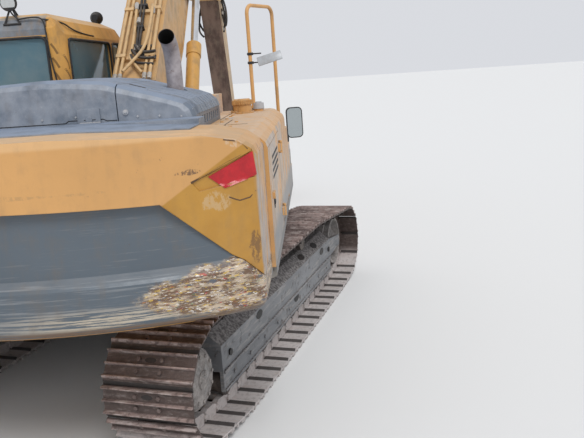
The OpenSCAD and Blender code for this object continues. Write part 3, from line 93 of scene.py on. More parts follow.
# Tracks: a chain of 49 forged links a side, turned on pins and bushings, each with a rolled steel shoe that
# has three grousers across it and is held by four bolts. They are rust-brown, dusty and worn bright on top.
class Shader:
    def __init__(self, name):
        self.material = bpy.data.materials.new(name)
        self.material.use_nodes = True
        self.tree = self.material.node_tree
        self.bsdf = self.tree.nodes["Principled BSDF"]
        self.place = self.add("TexCoord").outputs["Object"]
        self.normal = self.add("NewGeometry").outputs["Normal"]

    def put(self, socket, value):
        # A number or a colour is set on the socket, and anything else is wired to it
        if isinstance(value, tuple):
            socket.default_value = (*value, 1)
        elif isinstance(value, (int, float)):
            socket.default_value = value
        else:
            self.tree.links.new(value, socket)

    def add(self, kind, **inputs):
        node = self.tree.nodes.new("ShaderNode" + kind)
        for key, value in inputs.items():
            self.put(node.inputs[key.replace("_", " ")], value)
        return node

    def stretch(self, scale, turn=(0, 0, 0), centre=(0, 0, 0)):
        node = self.add("Mapping", Vector=self.place)
        node.inputs["Location"].default_value = [-c * k for c, k in zip(centre, scale)]
        node.inputs["Rotation"].default_value = turn
        node.inputs["Scale"].default_value = scale
        return node.outputs["Vector"]

    def noise(self, scale, detail=6, rough=0.55, stretch=None, turn=(0, 0, 0), centre=(0, 0, 0), twist=0.0):
        at = self.stretch(stretch, turn, centre) if stretch else self.place
        return self.add("TexNoise", Vector=at, Scale=scale, Detail=detail, Roughness=rough,
                        Distortion=twist).outputs["Fac"]

    def band(self, value, low, high, to_low=0.0, to_high=1.0):
        node = self.add("MapRange", Value=value, From_Min=low, From_Max=high, To_Min=to_low, To_Max=to_high)
        node.interpolation_type = "SMOOTHSTEP"
        return node.outputs["Result"]

    def spots(self, low, high, *noise):
        return self.band(self.noise(*noise), low, high)

    def math(self, kind, a, b=0.0):
        node = self.add("Math")
        node.operation = kind
        self.put(node.inputs[0], a)
        self.put(node.inputs[1], b)
        return node.outputs[0]

    def plus(self, a, b):
        return self.math("ADD", a, b)

    def times(self, first, *rest):
        for value in rest:
            first = self.math("MULTIPLY", first, value)
        return first

    def mix(self, share, under, over):
        node = self.add("Mix")
        node.data_type = "RGBA"
        for index, value in ((0, share), (6, under), (7, over)):
            self.put(node.inputs[index], value)
        return node.outputs[2]

    def over(self, tint, *shares):
        # A tint laid over the colour so far, where all the shares meet
        self.color = self.mix(self.times(*shares), self.color, tint)

    def axis(self, letter, *limits, source=None):
        # The place along one axis, or a band of it between two limits
        value = self.add("SeparateXYZ", Vector=source or self.place).outputs[letter]
        return self.band(value, *limits) if limits else value

    def facing(self, letter, *limits):
        return self.axis(letter, *limits, source=self.normal)

    def flanks(self):
        # 1 on the left and right faces of a piece
        return self.band(self.math("ABSOLUTE", self.facing("Y")), 0.8, 0.95)

    def around(self, centre, reach, ragged, scale, detail=7):
        # 1 inside an egg-shaped patch about a point of the object, 0 outside, with a ragged edge
        length = self.add("VectorMath")
        length.operation = "LENGTH"
        self.put(length.inputs[0], self.stretch([1 / r for r in reach], centre=centre))
        edge = self.times(self.math("SUBTRACT", self.noise(scale, detail, 0.62), 0.5), 4 * ragged)
        return self.band(self.plus(length.outputs["Value"], edge), 1.12, 0.88)

    def bump(self, height, distance, strength, round_edges=0.0):
        node = self.add("Bump", Height=height, Distance=distance, Strength=strength)
        if round_edges:
            bevel = self.add("Bevel", Radius=round_edges)
            bevel.samples = 4
            self.put(node.inputs["Normal"], bevel.outputs["Normal"])
        self.put(self.bsdf.inputs["Normal"], node.outputs["Normal"])

    def finish(self, color, roughness, metallic=0.0):
        for key, value in (("Base Color", color), ("Roughness", roughness), ("Metallic", metallic)):
            self.put(self.bsdf.inputs[key], value)
        return self.material


def dimmed(color, share):
    return tuple(c * share for c in color)


def muddy_steel(name, dark, light, mud, mud_share, metal=0.0, rough=0.72, lumps=0.006):
    s = Shader(name)
    fine = s.noise(22, 9, 0.68)
    s.color = s.mix(s.spots(0.32, 0.68, 4.5, 7, 0.6), dark, light)
    s.over(dimmed(dark, 0.45), s.band(fine, 0.5, 0.62), 0.5)
    caked = s.band(s.plus(s.noise(7, 8, 0.66), s.times(s.facing("Z"), 0.1)), 0.6 - 0.25 * mud_share,
                   0.66 - 0.2 * mud_share)
    s.over(s.mix(s.band(fine, 0.35, 0.65), dimmed(mud, 0.6), mud), caked)
    s.bump(s.plus(s.times(caked, fine, 1.6), s.times(s.noise(60, 6, 0.7), 0.4)), lumps, 0.8)
    return s.finish(s.color, s.band(caked, 0.0, 1.0, rough - 0.2, 0.95), metal)


def edges_of(points):
    return list(dict.fromkeys(edge for point in points for edge in point.link_edges))


def soften(shape, edges, offset, segments):
    # Edges are rounded, and the points of the rounded faces come back
    made = bmesh.ops.bevel(shape, geom=edges, offset=offset, offset_type="OFFSET", segments=segments,
                           affect="EDGES", profile=0.5, material=-1)
    return list(dict.fromkeys(v for f in made["faces"] for v in f.verts))


def push(shape, faces, way):
    # Faces are pushed out into a solid, and the moved points and faces come back
    made = bmesh.ops.extrude_face_region(shape, geom=faces)["geom"]
    moved = [part for part in made if isinstance(part, bmesh.types.BMVert)]
    bmesh.ops.translate(shape, vec=way, verts=moved)
    return moved, [part for part in made if isinstance(part, bmesh.types.BMFace)]


def add_rod(shape, a, b, radius, sides=16, end_radius=None):
    a, b = Vector(a), Vector(b)
    place = Matrix.Translation((a + b) / 2) @ (b - a).to_track_quat("Z", "Y").to_matrix().to_4x4()
    bmesh.ops.create_cone(shape, cap_ends=True, segments=sides, radius1=radius, depth=(b - a).length,
                          radius2=radius if end_radius is None else end_radius, matrix=place)


def add_block(shape, low, high, edge=0.0, turn=None):
    low, high = Vector(low), Vector(high)
    place = Matrix.Translation((low + high) / 2) @ Matrix.Diagonal((*(high - low), 1))
    made = bmesh.ops.create_cube(shape, size=1, matrix=place)["verts"]
    if edge:
        made = soften(shape, edges_of(made), edge, 2)
    if turn is not None:
        bmesh.ops.transform(shape, matrix=turn, verts=made)


def add_prism(shape, outline, y0, y1):
    # An outline of x, z points pushed along Y
    push(shape, [shape.faces.new([shape.verts.new((x, y0, z)) for x, z in outline])], (0, y1 - y0, 0))


def keep(name, shape, body, material, sharp=35, mirrored=False, turn=None):
    # A finished mesh becomes a piece that rides on its body
    if turn is not None:
        bmesh.ops.transform(shape, matrix=turn, verts=shape.verts)
    if mirrored:
        both = shape.verts[:] + shape.edges[:] + shape.faces[:]
        twin = bmesh.ops.duplicate(shape, geom=both)["geom"]
        bmesh.ops.scale(shape, vec=(1, -1, 1), verts=[part for part in twin if isinstance(part, bmesh.types.BMVert)])
    bmesh.ops.recalc_face_normals(shape, faces=shape.faces)
    data = bpy.data.meshes.new(name)
    shape.to_mesh(data)
    shape.free()
    data.polygons.foreach_set("use_smooth", [True] * len(data.polygons))
    data.set_sharp_from_angle(angle=math.radians(sharp))
    data.materials.append(material)
    made = bpy.data.objects.new(name, data)
    bpy.context.scene.collection.objects.link(made)
    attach(made, body)
    return made


track_turn = Matrix.Rotation(math.radians(-16), 4, "Z")
half_gauge = 1.195
link_pitch = 0.19
shoe_width = 0.6
# Centre x and z and belt radius of each wheel: sprocket, end rollers, idler and two carrier rollers
track_wheels = ((-1.83, 0.48, 0.322), (-1.33, 0.221, 0.132), (1.4, 0.221, 0.132), (1.83, 0.43, 0.31),
                (0.65, 0.723, 0.122), (-0.6, 0.723, 0.122))


def pin_line(step):
    # Points a link apart on the belt line round the wheels, from under the sprocket forward
    route = []
    for (x0, z0, r0), (x1, z1, r1) in zip(track_wheels, track_wheels[1:] + track_wheels[:1]):
        span = math.hypot(x1 - x0, z1 - z0)
        normal = math.atan2(z1 - z0, x1 - x0) - math.acos((r0 - r1) / span)
        route.append((normal, math.sqrt(span ** 2 - (r0 - r1) ** 2), (x0, z0, r0), (x1, z1, r1)))
    stretches = []
    for index, (normal, length, start, end) in enumerate(route):
        wrap = (route[(index + 1) % len(route)][0] - normal) % (2 * math.pi)
        stretches.append((length, lambda s, n=normal, w=start: (
            w[0] + w[2] * math.cos(n) - s * math.sin(n), w[1] + w[2] * math.sin(n) + s * math.cos(n))))
        stretches.append((wrap * end[2], lambda s, n=normal, w=end: (
            w[0] + w[2] * math.cos(n + s / w[2]), w[1] + w[2] * math.sin(n + s / w[2]))))
    total = sum(length for length, _ in stretches)
    count = round(total / step)
    points = []
    for k in range(count):
        s = k * total / count
        for length, at in stretches:
            if s <= length:
                points.append(at(s))
                break
            s -= length
    return points


link = bmesh.new()
shoe_edge = ((0.004, 0.056), (0.004, 0.066), (0.01, 0.088), (0.018, 0.088), (0.03, 0.064), (0.086, 0.064),
             (0.091, 0.088), (0.099, 0.088), (0.105, 0.064), (0.16, 0.064), (0.172, 0.088), (0.18, 0.088),
             (0.19, 0.062), (0.208, 0.052), (0.224, 0.036), (0.218, 0.031), (0.204, 0.044),
             (0.188, 0.053), (0.014, 0.052))
add_prism(link, [(x, -z) for x, z in shoe_edge], -shoe_width / 2, shoe_width / 2)
shoe_bolt_radius = 0.014
for x in (0.058, 0.132):
    for y in (-0.078, 0.078):
        add_rod(link, (x, y, -0.063), (x, y, -0.076), shoe_bolt_radius, 6)
# A flat dark disc in the middle of the shoe stands for its hole: painted shade
bmesh.ops.create_circle(link, cap_ends=True, segments=14, radius=0.026, matrix=Matrix.Translation(
    (0.059, 0, -0.0655)) @ Matrix.Diagonal((0.62, 1.5, 1, 1)))
for side in (-1, 1):
    low, high = sorted((side * 0.057, side * 0.098))
    add_prism(link, ((0.01, 0.026), (0.04, 0.038), (0.15, 0.038), (0.18, 0.026), (0.186, -0.02), (0.172, -0.051),
                     (0.018, -0.051), (0.004, -0.02)), low, high)
for half_length, radius in ((0.112, 0.021), (0.056, 0.031)):
    add_rod(link, (0, -half_length, 0), (0, half_length, 0), radius, 10)
# The ridge number is 1 on the grousers, 0 in the valleys and -2 under the lip and in the middle hole; it places the
# painted shade
ridge_shade = link.verts.layers.float.new("ridge_shade")
for v in link.verts:
    v[ridge_shade] = min(1.0, max(0.0, (-v.co.z - 0.062) / 0.022)) - (2.0 if v.co.x > 0.189 and v.co.z > -0.053 else 0.0)
    if abs(v.co.y) < 0.1 and v.co.z < -0.0629:
        v[ridge_shade] = -2.0 if abs(v.co.y) < 0.045 else 0.2
link_data = bpy.data.meshes.new("one_link")
link.to_mesh(link_data)
link.free()

s = Shader("shoe_steel")
low_run = s.axis("Z", 0.34, 0.12)
s.color = s.mix(s.spots(0.35, 0.65, 3.3, 7, 0.6), (0.17, 0.125, 0.115), (0.38, 0.285, 0.26))
s.over((0.62, 0.585, 0.57), low_run, 0.8)
fine = s.noise(26, 9, 0.7)
s.over((0.1, 0.07, 0.06), s.band(fine, 0.48, 0.62), s.band(low_run, 0.0, 1.0, 0.75, 0.3))
streak = s.noise(5, 8, 0.65, (9, 1.4, 9), (0, 0, 0.279))
s.over((0.5, 0.43, 0.4), s.band(streak, 0.5, 0.62), 0.7)
ridge_part = s.add("Attribute")
ridge_part.attribute_name = "ridge_shade"
height = ridge_part.outputs["Fac"]
# Painted shade: the valleys between the grousers on the upper run, and the bolts in part, are darkened as if shaded by
# the grousers
painted_valley_shade = s.times(s.band(height, 0.55, 0.0), s.band(low_run, 0.7, 0.1), s.band(fine, 0.7, 0.42, 0.55, 0.95))
s.over((0.06, 0.042, 0.036), painted_valley_shade)
# Painted shade under the lip of each shoe and on the disc of the middle hole
s.over((0.035, 0.03, 0.028), s.band(height, -0.5, -1.2), 0.92)
s.bump(s.plus(fine, s.times(s.noise(90, 5, 0.7), 0.5)), 0.0035, 0.7, 0.003)
shoe_steel = s.finish(s.color, s.band(streak, 0.4, 0.6, 0.72, 0.5), 0.25)
pins = pin_line(link_pitch)
for side, node in ((-1, "track_right"), (1, "track_left")):
    chain = bmesh.new()
    for a, b in zip(pins, pins[1:] + pins[:1]):
        along = Vector((b[0] - a[0], 0, b[1] - a[1])).normalized()
        out = Vector((along.z, 0, -along.x))
        before = len(chain.verts)
        chain.from_mesh(link_data)
        chain.verts.ensure_lookup_table()
        turn = Matrix((along, (0, 1, 0), -out)).transposed().to_4x4()
        bmesh.ops.transform(chain, matrix=track_turn @ Matrix.Translation((a[0], side * half_gauge, a[1])) @ turn,
                            verts=chain.verts[before:])
    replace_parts(keep(node + "_chain", chain, "undercarriage", shoe_steel), node)

# Track frames, carbody and wheels: welded plate and castings in worn grey paint, with dried mud on every
# upper face and packed round the sprocket. Two oval holes in the roof of each frame let mud out.
s = Shader("frame_steel")
fine = s.noise(14, 9, 0.66)
s.color = s.mix(s.spots(0.35, 0.7, 2.2, 6), (0.15, 0.155, 0.165), (0.23, 0.235, 0.245))
s.over((0.33, 0.31, 0.29), s.spots(0.5, 0.66, 4, 7, 0.6, (1.1, 1.1, 9)), 0.55)
mud = s.band(s.plus(s.times(s.facing("Z", 0.15, 0.7), 0.34), fine), 0.56, 0.7)
s.over(s.mix(s.spots(0.4, 0.6, 40, 6, 0.7), (0.11, 0.1, 0.097), (0.3, 0.28, 0.27)), mud)
s.bump(s.plus(s.times(mud, fine, 2.0), s.times(s.noise(70, 6, 0.7), 0.3)), 0.008, 0.8, 0.006)
frame_steel = s.finish(s.color, s.band(mud, 0, 1, 0.5, 0.95))
caked_steel = muddy_steel("caked_steel", (0.2, 0.19, 0.18), (0.34, 0.32, 0.31), (0.38, 0.35, 0.33), 0.9, lumps=0.012)


def coat(material, *names):
    for name in names:
        nodes[name].data.materials.clear()
        nodes[name].data.materials.append(material)


coat(frame_steel, "track_frames", "carbody")
coat(caked_steel, "sprockets", "idlers")
coat(muddy_steel("roller_steel", (0.06, 0.05, 0.045), (0.16, 0.13, 0.11), (0.13, 0.105, 0.085), 0.5, 0.3),
     "rollers", "swing_ring")

frame_side = half_gauge + 0.1445
hole_radius, lip_height, lip_width, lip_drop = 0.05, 0.008, 0.008, 0.006
roof_pitch = math.atan2(0.082, 0.105)
holes = bmesh.new()
rails = bmesh.new()
drive_bolts = bmesh.new()
for side in (-1, 1):
    for x in (0.62, -0.42, 1.05):
        for slope in (-1, 1):
            rim = bmesh.ops.create_circle(holes, cap_ends=True, segments=24, radius=hole_radius)["verts"]
            bmesh.ops.scale(holes, vec=(1.5, 0.75, 1), verts=rim)
            top, faces = push(holes, [rim[0].link_faces[0]], (0, 0, lip_height))
            bmesh.ops.inset_region(holes, faces=faces, thickness=lip_width)
            sunk = list(faces[0].verts)
            bmesh.ops.translate(holes, vec=(0, 0, -lip_drop), verts=sunk)
            seat = Matrix.Translation((x, side * half_gauge + slope * 0.0925, 0.581))
            bmesh.ops.transform(holes, matrix=seat @ Matrix.Rotation(-slope * roof_pitch, 4, "X"),
                                verts=list(dict.fromkeys(rim + top + sunk)))
    for x, z in ((-0.69, 0.492), (1.16, 0.488), (0.25, 0.3)):
        oval = bmesh.ops.create_circle(holes, cap_ends=True, segments=20, radius=0.034)["verts"]
        bmesh.ops.scale(holes, vec=(1.9, 1, 1), verts=oval)
        front, _ = push(holes, [oval[0].link_faces[0]], (0, 0, 0.003))
        seat = Matrix.Translation((x, side * (half_gauge + 0.1452), z))
        bmesh.ops.transform(holes, matrix=seat @ Matrix.Rotation(-side * math.pi / 2, 4, "X"), verts=oval + front)
    for x in (-1.3, 1.42):
        for y in (-0.147, 0.147):
            add_rod(holes, (x, side * half_gauge + y, 0.44), (x, side * half_gauge + y * 1.07, 0.44), 0.028, 6)
    for z0, z1, reach in ((0.33, 0.352, 0.16), (0.196, 0.216, 0.158)):
        low, high = sorted((side * frame_side, side * (half_gauge + reach)))
        add_block(rails, (-1.43, low, z0), (1.47, high, z1), 0.003)
    for k in range(9):
        x = -1.25 + 0.32 * k
        add_rod(rails, (x, side * frame_side, 0.272), (x, side * (frame_side + 0.012), 0.272), 0.017, 6)
    hub = Vector((-1.83, side * half_gauge, 0.48))
    hub_bolts, bolt_circle = 12, 0.15
    for k in range(hub_bolts):
        angle = math.tau * k / hub_bolts
        spot = hub + Vector((bolt_circle * math.cos(angle), 0, bolt_circle * math.sin(angle)))
        add_rod(drive_bolts, spot + Vector((0, side * 0.168, 0)), spot + Vector((0, side * 0.187, 0)), 0.013, 6)
    for x, z in ((0.03, 0.035), (-0.035, -0.02)):
        start = hub + Vector((x, side * 0.183, z))
        add_rod(drive_bolts, start, start + Vector((0, side * 0.014, 0)), 0.02, 8)
# The holes in the frame roofs and the ovals on the frame sides are near-black discs: painted shade standing for the
# openings; the small round plugs share this finish
hole_shade_black = muddy_steel("hole_shade_black", (0.006, 0.005, 0.005), (0.02, 0.017, 0.015), (0.05, 0.04, 0.035), 0.1)
keep("mud_hole_shade", holes, "undercarriage", hole_shade_black, turn=track_turn)
keep("frame_rails", rails, "undercarriage", frame_steel, turn=track_turn)
keep("drive_bolts", drive_bolts, "undercarriage", caked_steel, turn=track_turn)

# Counterweight: one heavy casting with a smooth rounded back, a sharp crease down to lower corners painted
# a darker ochre as painted shade, and a sunk guard plate under it with a wide bumper, all knocked and scraped against
# rock at the corner.
def worn_paint(name, base, dust_and_sheen=(0.5, 0.36, 0.23), dust_and_sheen_top=0.5, dirt=0.25, chips=0.5, rough=0.42, low_dirt=0.0,
               round_edges=0.006, patches=(), extra=None):
    s = Shader(name)
    s.color = s.mix(s.spots(0.3, 0.75, 1.3, 4), dimmed(base, 0.88), base)
    if extra:
        extra(s)
    fine = s.noise(9, 8, 0.65)
    streak = s.noise(4, 6, 0.6, (3.5, 3.5, 0.5))
    s.over((0.17, 0.13, 0.09), s.band(s.times(fine, streak), 0.2, 0.42), dirt)
    speck = s.times(s.spots(0.63, 0.72, 85, 5, 0.7), s.spots(0.45, 0.65, 2.5, 4), 0.8 * dirt + 0.15)
    s.over((0.13, 0.09, 0.06), speck)
    # Upper faces take the dust colour; on the slate hood that pale blue is partly painted sky light, partly dust
    dust_and_sheen_share = s.times(s.facing("Z", 0.55, 0.98), dust_and_sheen_top, s.spots(0.22, 0.6, 5, 7, 0.6))
    s.over(dust_and_sheen, dust_and_sheen_share)
    for centre, reach, tint, share, grain in patches:
        flakes = s.spots(0.46, 0.52, grain * 3, 9, 0.78, (1, 1, 0.5), (0.7, 0, 0))
        s.over(tint, s.around(centre, reach, 0.5, grain, 9), share, flakes)
    chip = s.times(s.band(s.noise(34, 9, 0.72, twist=0.4), 0.665 - 0.03 * chips, 0.7),
                   s.spots(0.42, 0.62, 1.7, 3), min(1.0, chips * 1.6))
    s.over((0.12, 0.07, 0.045), chip)
    if low_dirt:
        foot = s.times(s.axis("Z", 1.75, 1.05), s.band(fine, 0.3, 0.62), low_dirt)
        s.over((0.34, 0.3, 0.25), foot)
    s.bump(s.plus(s.noise(60, 6, 0.6), s.times(chip, -1.5)), 0.0012, 0.5, round_edges)
    return s.finish(s.color, s.plus(s.band(fine, 0.2, 0.8, rough - 0.06, rough + 0.16), s.times(dust_and_sheen_share, 0.4)))


def corner_shade_highlight_and_wear(s):
    side = s.math("ABSOLUTE", s.axis("Y"))
    below = s.band(s.plus(s.axis("Z"), s.times(side, -0.654)), 1.196, 1.184)
    # Painted shade: the lower corner facets, which face away from the light, are painted a darker ochre
    shaded_facet = s.times(below, s.axis("X", -2.38, -2.42), s.band(side, 0.7, 0.74))
    s.over(s.mix(s.spots(0.3, 0.7, 2.6, 6, 0.6), (0.41, 0.2, 0.028), (0.51, 0.265, 0.045)), shaded_facet)
    # Painted highlight: a pale band along the top edge of the back, standing for the light caught there
    rim = s.times(s.axis("Z", 2.05, 2.072), s.axis("X", -2.2, -2.3), 0.5)
    s.over((0.8, 0.52, 0.27), rim)
    scraped = s.times(s.axis("Y", -1.292, -1.302), s.spots(0.42, 0.56, 5, 8, 0.66, (1, 1, 0.35)), 0.85)
    s.over(s.mix(s.spots(0.4, 0.6, 13, 8, 0.7), (0.33, 0.32, 0.33), (0.44, 0.37, 0.3)), scraped)
    rust = s.times(s.axis("Y", -1.28, -1.3), s.spots(0.56, 0.64, 6, 9, 0.7, (2, 2, 0.4)))
    s.over((0.22, 0.09, 0.035), rust)


def scraped_bumper(s):
    streaks = s.noise(4, 9, 0.72, (0.55, 0.55, 22), (0.03, 0, 0))
    corner = s.around((-2.44, -1.12, 1.23), (0.6, 0.5, 0.145), 0.28, 5)
    low = s.times(s.axis("Z", 1.245, 1.16), s.axis("Y", 0.3, -0.45), s.band(streaks, 0.47, 0.51), 0.9)
    pale = s.times(s.axis("Z", 1.385, 1.36), s.band(streaks, 0.49, 0.6), 0.45)
    s.over((0.3, 0.31, 0.32), pale)
    s.over((0.5, 0.43, 0.33), low)
    flakes = s.spots(0.48, 0.56, 8, 9, 0.74, (1, 1, 5), (0.35, 0, 0))
    s.over(s.mix(flakes, (0.15, 0.085, 0.05), (0.5, 0.4, 0.29)), corner)
    for scale, low_end, tint in (
            (22, 0.565, (0.66, 0.44, 0.08)), (27, 0.57, (0.78, 0.74, 0.68)), (19, 0.605, (0.46, 0.02, 0.02)),
            (25, 0.615, (0.1, 0.26, 0.12)), (14, 0.575, (0.1, 0.12, 0.15))):
        chips = s.noise(scale, 9, 0.74, (1, 1, 4), (0.35, 0, 0), (scale, 0, 0))
        s.over(tint, corner, s.band(chips, low_end, low_end + 0.03))
    above = s.times(s.axis("Z", 1.37, 1.39), s.spots(0.57, 0.66, 3.5, 9, 0.7, (1, 1, 34), (0.015, 0, 0)), 0.5)
    s.over((0.2, 0.21, 0.22), above)
    under = s.times(s.axis("Z", 1.125, 1.1), s.band(streaks, 0.4, 0.5))
    s.over((0.15, 0.095, 0.06), under)


yellow = (0.66, 0.355, 0.125)
coat(worn_paint("cast_yellow", yellow, dust_and_sheen_top=0.75, dirt=0.16, chips=0.35, low_dirt=0.1, extra=corner_shade_highlight_and_wear, patches=(
    ((-2.61, -1.09, 1.712), (0.085, 0.085, 0.045), (0.55, 0.38, 0.2), 0.7, 12),
    ((-2.68, -0.96, 1.885), (0.06, 0.06, 0.014), (0.16, 0.09, 0.05), 0.9, 14),
    ((-2.54, -1.27, 1.42), (0.05, 0.035, 0.1), (0.12, 0.06, 0.03), 0.7, 12),
    ((-2.57, -1.2, 2.03), (0.05, 0.06, 0.04), (0.66, 0.52, 0.38), 0.55, 14),
    ((-2.8, 0.1, 1.83), (0.1, 0.5, 0.012), (0.36, 0.22, 0.1), 0.4, 8))), "counterweight")
coat(worn_paint("guard_slate", (0.105, 0.13, 0.155), dust_and_sheen=(0.3, 0.3, 0.3), dust_and_sheen_top=0.55, dirt=0.3, rough=0.36,
                extra=scraped_bumper), "counterweight_bumper")


def skin_of(node):
    data = nodes[node].data
    return BVHTree.FromPolygons([nodes[node].matrix_world @ v.co for v in data.vertices],
                                [tuple(p.vertices) for p in data.polygons])


def drape(shape, skin, corners, toward, cuts=(6, 3), lift=0.001, thick=0.003):
    # A thin sheet between four corners, laid on the skin of a node; where the skin ends, so does the sheet
    toward = Vector(toward).normalized()
    a, b, c, d = (Vector(corner) for corner in corners)
    grid = bmesh.ops.create_grid(shape, x_segments=cuts[0], y_segments=cuts[1], size=0.5)["verts"]
    missed = []
    for v in grid:
        u, w = v.co.x + 0.5, v.co.y + 0.5
        hit = skin.ray_cast(a.lerp(b, u).lerp(d.lerp(c, u), w) - toward * 0.15, toward, 0.6)[0]
        if hit is None:
            missed.append(v)
        else:
            v.co = hit + toward * lift
    bmesh.ops.delete(shape, geom=missed, context="VERTS")
    faces = list(dict.fromkeys(f for v in grid if v.is_valid for f in v.link_faces))
    if faces:
        push(shape, faces, -toward * (thick + lift))


def seam(shape, skin, points, toward, width=0.006, thick=0.0015, step=0.06):
    toward = Vector(toward).normalized()
    for a, b in zip(points, points[1:]):
        a, b = Vector(a), Vector(b)
        across = (b - a).cross(toward).normalized() * width / 2
        drape(shape, skin, (a - across, b - across, b + across, a + across), toward,
              (max(1, round((b - a).length / step)), 1), 0.0005, thick)


weight_skin = skin_of("counterweight")
to_corner = (0.87, 0.49, 0)
reflectors = bmesh.new()
drape(reflectors, weight_skin, ((-2.621, -1.056, 1.849), (-2.526, -1.287, 1.959), (-2.5, -1.297, 1.832),
                                (-2.595, -1.136, 1.781)), to_corner, (12, 6), 0.001, 0.006)
s = Shader("red_plastic")
prisms = s.add("TexVoronoi", Vector=s.stretch((1, 1, 1), (0.5, 0.4, 0.3)), Scale=150).outputs["Distance"]
s.bump(prisms, 0.0006, 0.6)
red_plastic = s.finish(s.mix(s.spots(0.3, 0.7, 11, 7, 0.7), (0.36, 0.008, 0.014), (0.56, 0.014, 0.022)), 0.3)
keep("reflectors", reflectors, "house", red_plastic, mirrored=True)

cracks_and_groove_shadow = bmesh.new()
# The first, widest line is painted shadow along the upper edge of the reflector's groove; the other two are cracks
for width, line in (
        (0.011, ((-2.672, -0.975, 1.83), (-2.617, -1.06, 1.868), (-2.588, -1.165, 1.916), (-2.53, -1.287, 1.966))),
        (0.006, ((-2.606, -1.15, 2.036), (-2.578, -1.2, 2.025), (-2.55, -1.24, 2.004), (-2.536, -1.259, 1.975))),
        (0.006, ((-2.58, -1.15, 1.73), (-2.576, -1.18, 1.716), (-2.559, -1.205, 1.704), (-2.537, -1.258, 1.714),
                 (-2.52, -1.29, 1.745)))):
    seam(cracks_and_groove_shadow, weight_skin, line, to_corner, width)
crack_and_shadow_brown = worn_paint("crack_and_shadow_brown", (0.13, 0.07, 0.035), dirt=0.1, chips=0, dust_and_sheen_top=0.2)
keep("weight_cracks_and_groove_shadow", cracks_and_groove_shadow, "house", crack_and_shadow_brown)

# Lip of the sunk plate: a worn bead left where the plate meets the casting, rubbed bare and bright along its
# top. It runs down both sides, in three straight lengths.
lip = bmesh.new()
lip_line = [Vector(p) for p in ((-2.682, -0.803, 1.728), (-2.63, -0.961, 1.577), (-2.57, -1.116, 1.424),
                                (-2.512, -1.262, 1.296))]
across = Vector((0, 0.0115, 0.0105))
for a, b in zip(lip_line, lip_line[1:]):
    drape(lip, weight_skin, (a, b, b + across, a + across), (0.93, 0.36, 0), (5, 2), 0.002, 0.004)
bare_edge = worn_paint("bare_edge", (0.6, 0.44, 0.27), dirt=0.5, chips=0.9)
keep("recess_lip", lip, "house", bare_edge, mirrored=True)


# Engine cover: pressed sheet steel in slate grey, a lid hinged at the front and a fixed louvred part on the
# right. It is dusty, its upper faces painted a paler blue partly as painted sky light and its rear faces painted paler
# as painted light, with a flat sill behind it, a latch, a lock knob and a row of screws.
def back_light_and_specks(s):
    # Painted light: faces turned to the rear are painted paler, as if lit from behind; the fine pale specks are dust
    lit_back = s.times(s.facing("X", -0.3, -0.9), 0.8, s.spots(0.2, 0.7, 6, 8, 0.65))
    s.over((0.36, 0.385, 0.43), lit_back)
    s.over((0.4, 0.41, 0.43), s.spots(0.64, 0.7, 48, 5, 0.7), 0.6)


# The pale blue laid as dust on the hood's upper faces is partly a painted reflection of the sky
hood_paint = worn_paint("hood_slate", (0.125, 0.158, 0.205), dust_and_sheen=(0.26, 0.31, 0.4), dust_and_sheen_top=0.75, dirt=0.22,
                        chips=0.35, rough=0.34, extra=back_light_and_specks)
coat(hood_paint, "hood_fixed", "hood_lid")
down_on = Vector((0, 0, -1))
sill_front, sill_radius = -1.975, 2.47
sill = bmesh.new()
arc = [(-sill_radius * math.cos(a), sill_radius * math.sin(a)) for a in map(math.radians, range(22, -23, -2))]
for (x0, y0), (x1, y1) in zip(arc, arc[1:]):
    drape(sill, weight_skin, ((sill_front, y0, 2.15), (x0, y0, 2.15), (x1, y1, 2.15), (sill_front, y1, 2.15)),
          down_on, (4, 1), 0.001, 0.008)
    add_prism(sill, ((sill_front, 2.04), (sill_front, 2.112), (-1.762, 2.112), (-1.762, 2.04)), y0, y1)
keep("hood_sill", sill, "house", hood_paint)
seams = bmesh.new()
seam(seams, skin_of("hood_lid"), [(-1.76, y, z) for y, z in (
    (0.95, 2.118), (-0.03, 2.118), (-0.05, 2.132), (-0.275, 2.132), (-0.3, 2.12), (-0.365, 2.12))], (1, 0, 0), 0.005)
black_seams_soot_and_gap_shade = worn_paint("black_seams_soot_and_gap_shade", (0.012, 0.012, 0.013), dirt=0.1, chips=0, dust_and_sheen_top=0.1, rough=0.7)
keep("hood_seams", seams, "engine_lid", black_seams_soot_and_gap_shade)
# A black strip across the top of the fixed cover is painted shade standing for the gap there
slot = bmesh.new()
seam(slot, skin_of("hood_fixed"), ((-1.48, -0.395, 2.42), (-1.48, -0.5, 2.42)), down_on, 0.035)
keep("hood_gap_shade", slot, "house", black_seams_soot_and_gap_shade)
latch = bmesh.new()
add_block(latch, (-1.779, -0.262, 2.108), (-1.77, -0.125, 2.118), 0.002)
for y, z in ((-0.1, 2.152), (-0.205, 2.146), (0.12, 2.146), (0.45, 2.15), (0.8, 2.14)):
    add_rod(latch, (-1.758, y, z), (-1.765, y, z), 0.008, 12, 0.006)
latch_zinc = worn_paint("latch_zinc", (0.42, 0.43, 0.45), dirt=0.4, chips=0.3, rough=0.4)
keep("hood_latch", latch, "engine_lid", latch_zinc)
knob = bmesh.new()
add_rod(knob, (-1.758, -0.425, 2.166), (-1.768, -0.425, 2.166), 0.018, 20)
add_rod(knob, (-1.768, -0.425, 2.166), (-1.774, -0.425, 2.166), 0.011, 20, 0.008)
for y, z in ((-0.5, 2.135), (-0.64, 2.13), (-0.78, 2.12)):
    add_rod(knob, (-1.758, y, z), (-1.764, y, z), 0.007, 12)
lock_zinc = worn_paint("lock_zinc", (0.5, 0.51, 0.53), dirt=0.3, chips=0.2, rough=0.3)
keep("hood_lock", knob, "house", lock_zinc)


